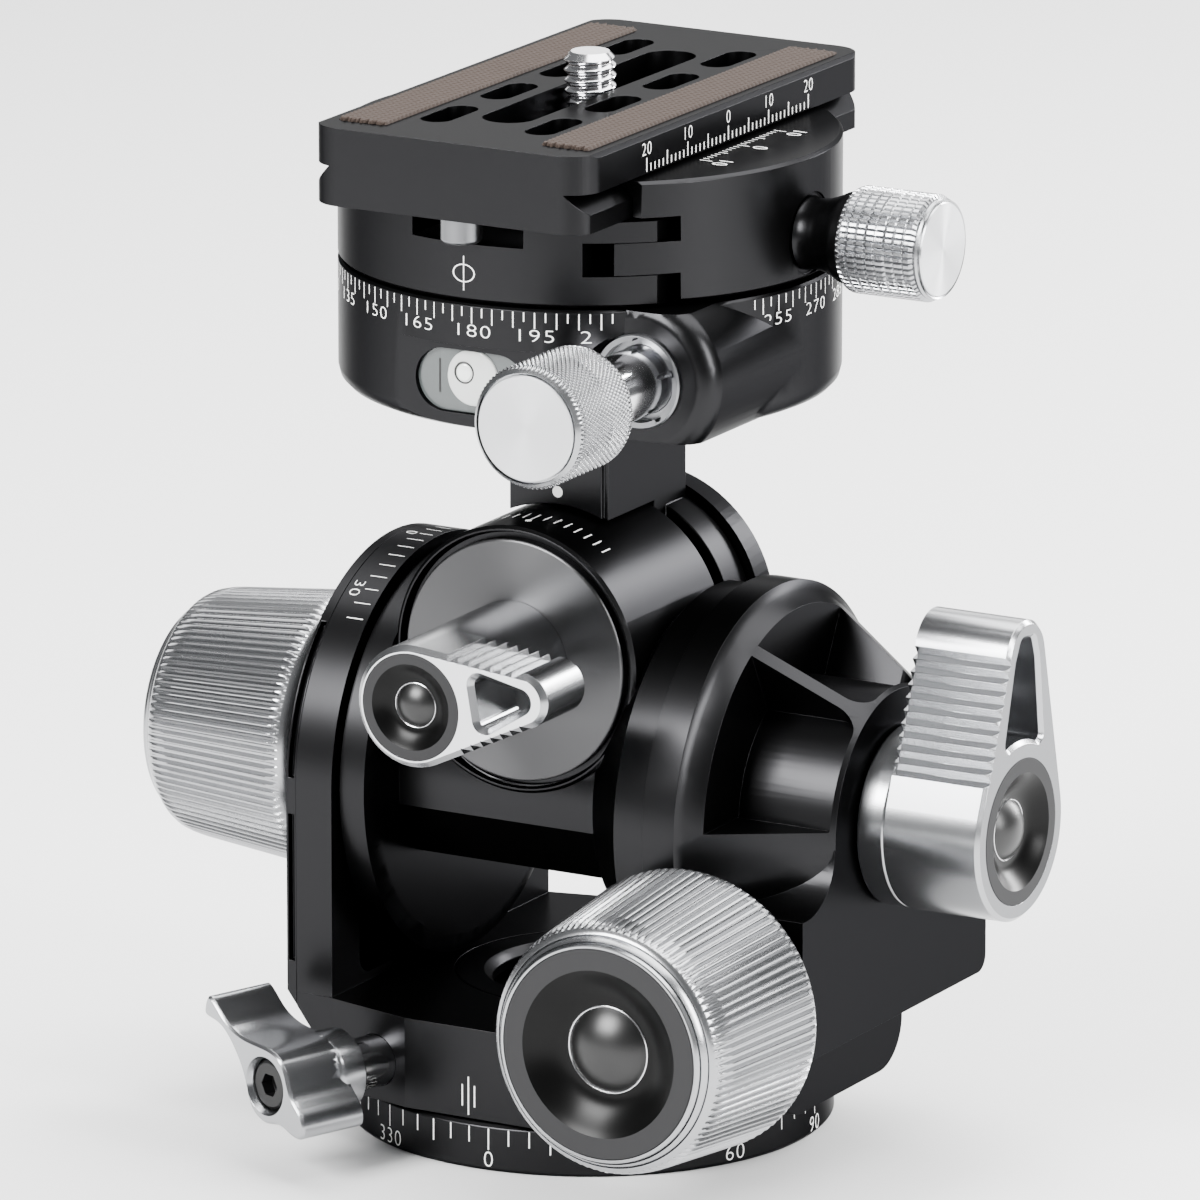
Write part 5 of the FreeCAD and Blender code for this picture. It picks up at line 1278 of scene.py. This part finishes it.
@dataclass
class QuickPlate:
    """Dovetail camera plate, its grip strips, pins and screw."""

    half: int = 20
    line_z: float = 123.75
    figure_z: float = 126.6
    pitch_mm: float = 0.92
    inner: float = 10.6
    across: int = 66
    along: int = 500
    relief: float = 0.16
    fall: float = 0.4

    def build(self) -> None:
        """Dress the plate, lay the grips and engrave the millimetre scale."""
        COAT.dress_all(BLACK, quick_plate=0.22, screw_carrier=0.1)
        COAT.dress("stop_pins", RING_STEEL, 0.12)
        self.grips()
        CameraScrew().build()
        face = box_mm("quick_plate")[1][0]
        spot = Spot((face, 0, 0), (0, 1, 0), (0, 0, 1), (1, 0, 0))
        marks = Engraving("plate_millimetre_scale", "plate", flat_wrap(spot))
        for step in range(-self.half, self.half + 1):
            long = 1.7 if step % 5 == 0 else 0.9
            marks.line(step, self.line_z, step, self.line_z + long, 0.22)
            if step % 10 == 0:
                marks.text(str(abs(step)), step, self.figure_z, 1.6)
        marks.build()

    def grips(self) -> None:
        """Two strips with a waffle of tiny pyramids and rough-cut ends.

        The height is the strip's top less a share of how near a point lies to the waffle's
        lines, and falls to the plate at the edges.
        """
        low, high = box_mm("grip_pads")
        for side, (x0, x1) in enumerate(((low[0], -self.inner), (self.inner, high[0]))):
            x, y = np.meshgrid(np.linspace(x0, x1, self.across),
                               np.linspace(low[1], high[1], self.along), indexing="ij")
            torn = 0.2 * (2 + np.sin(5.1 * x + side) + np.sin(11.3 * x))
            y = y * (1 - torn / high[1])
            u = np.abs((x / self.pitch_mm) % 1.0 - 0.5) * 2
            v = np.abs((y / self.pitch_mm) % 1.0 - 0.5) * 2
            cell = np.clip(1.6 * (1 - np.maximum(u, v)), 0, 1)
            ends = high[1] - torn - np.abs(y)
            edge = np.minimum(np.minimum(x - x0, x1 - x), ends)
            z = high[2] - self.relief * (1 - cell) - self.fall * np.clip(1 - edge / 0.22, 0, 1)
            points = np.stack([x, y, z], -1).reshape(-1, 3)
            faces = grid_faces(self.across, self.along, False)
            new_piece(f"grip_strip_{side + 1}", points, faces, GRIP, "plate", 60.0,
                                    weld=False)
        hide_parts("grip_pads")


# ---- studio


@dataclass
class Studio:
    """Floor, soft lights and camera.

    Attributes:
        azimuth, elevation: view direction in degrees.
        distance, aim_z: camera distance and aim height in mm.
        lens: focal length for a 36 mm sensor.
        middle: where the aim point falls in a 1200 by 1200 frame.
    """

    azimuth: float = 29.5
    elevation: float = 14.89
    distance: float = 1547.0
    aim_z: float = 62.0
    lens: float = 381.3
    middle: tuple[float, float] = (590.2, 617.7)

    def build(self) -> None:
        """Lay the floor, hang the lights and stand the camera."""
        self.floor()
        self.lights()
        self.camera()

    def floor(self) -> None:
        """Wide flat card under the base."""
        w, z = 6000.0, -0.05
        points = np.array([[-w, -w, z], [w, -w, z], [w, w, z], [-w, w, z]])
        mesh = bpy.data.meshes.new("studio_floor")
        mesh.from_pydata((points * MM).tolist(), [], [[0, 1, 2, 3]])
        card = bpy.data.objects.new("studio_floor", mesh)
        link(card)
        mesh.materials.append(CARD.material())
        world = bpy.data.worlds.new("studio_air")
        world.use_nodes = True
        world.node_tree.nodes["Background"].inputs["Color"].default_value = linear("#F4F6F8")
        world.node_tree.nodes["Background"].inputs["Strength"].default_value = 0.26
        bpy.context.scene.world = world

    def light(self, name: str, place: tuple[float, float, float], size: tuple[float, float],
              power: float) -> None:
        """Hang one soft box that faces the head.

        Args:
            name: its name.
            place: where it hangs, in mm.
            size: width and height in mm.
            power: its power in watts.
        """
        data = bpy.data.lights.new(name, "AREA")
        data.shape = "RECTANGLE"
        data.size, data.size_y = size[0] * MM, size[1] * MM
        data.energy = power
        lamp = bpy.data.objects.new(name, data)
        link(lamp)
        lamp.location = Vector(place) * MM
        aim = Vector((0, 0, self.aim_z * MM)) - lamp.location
        lamp.rotation_mode = "QUATERNION"
        lamp.rotation_quaternion = aim.to_track_quat("-Z", "Y")

    def lights(self) -> None:
        """A wide box overhead, a key in front, a panel behind and two tall strips on the right."""
        self.light("top_box", (60, 220, 760), (1000, 900), 27.0)
        self.light("front_key", (-235, -680, 525), (400, 320), 20.0)
        self.light("back_panel", (-450, 1150, 560), (1500, 420), 7.0)
        self.light("back_right_strip", (330, 780, 330), (160, 420), 14.0)
        self.light("right_strip", (640, -110, 330), (160, 420), 7.0)

    def camera(self) -> None:
        """Stand the camera back from its aim point with a small shift."""
        a, e = math.radians(self.azimuth), math.radians(self.elevation)
        back = Vector((math.sin(a) * math.cos(e), -math.cos(a) * math.cos(e), math.sin(e)))
        data = bpy.data.cameras.new("view_camera")
        data.sensor_width = 36.0
        data.lens = self.lens
        frame_px = 1200.0
        data.shift_x = (frame_px / 2 - self.middle[0]) / frame_px
        data.shift_y = (self.middle[1] - frame_px / 2) / frame_px
        data.clip_start, data.clip_end = 0.1, 20.0
        cam = bpy.data.objects.new("view_camera", data)
        link(cam)
        cam.location = Vector((0, 0, self.aim_z * MM)) + back * self.distance * MM
        cam.rotation_mode = "QUATERNION"
        cam.rotation_quaternion = (-back).to_track_quat("-Z", "Y")
        bpy.context.scene.camera = cam


def main() -> None:
    """Build every sub-assembly in order and report it."""
    logging.basicConfig(level=logging.INFO, format="%(message)s")
    for part in (PanBase(), Frame(), TiltCarrier(), Levers(), Knobs(), Panorama(), Clamp(),
                 QuickPlate()):
        part.build()
        LOG.info("built %s", type(part).__name__)
    COAT.dress("pan_brake_shoe", BRONZE, 0.0)
    Studio().build()


if __name__ == "__main__":
    main()
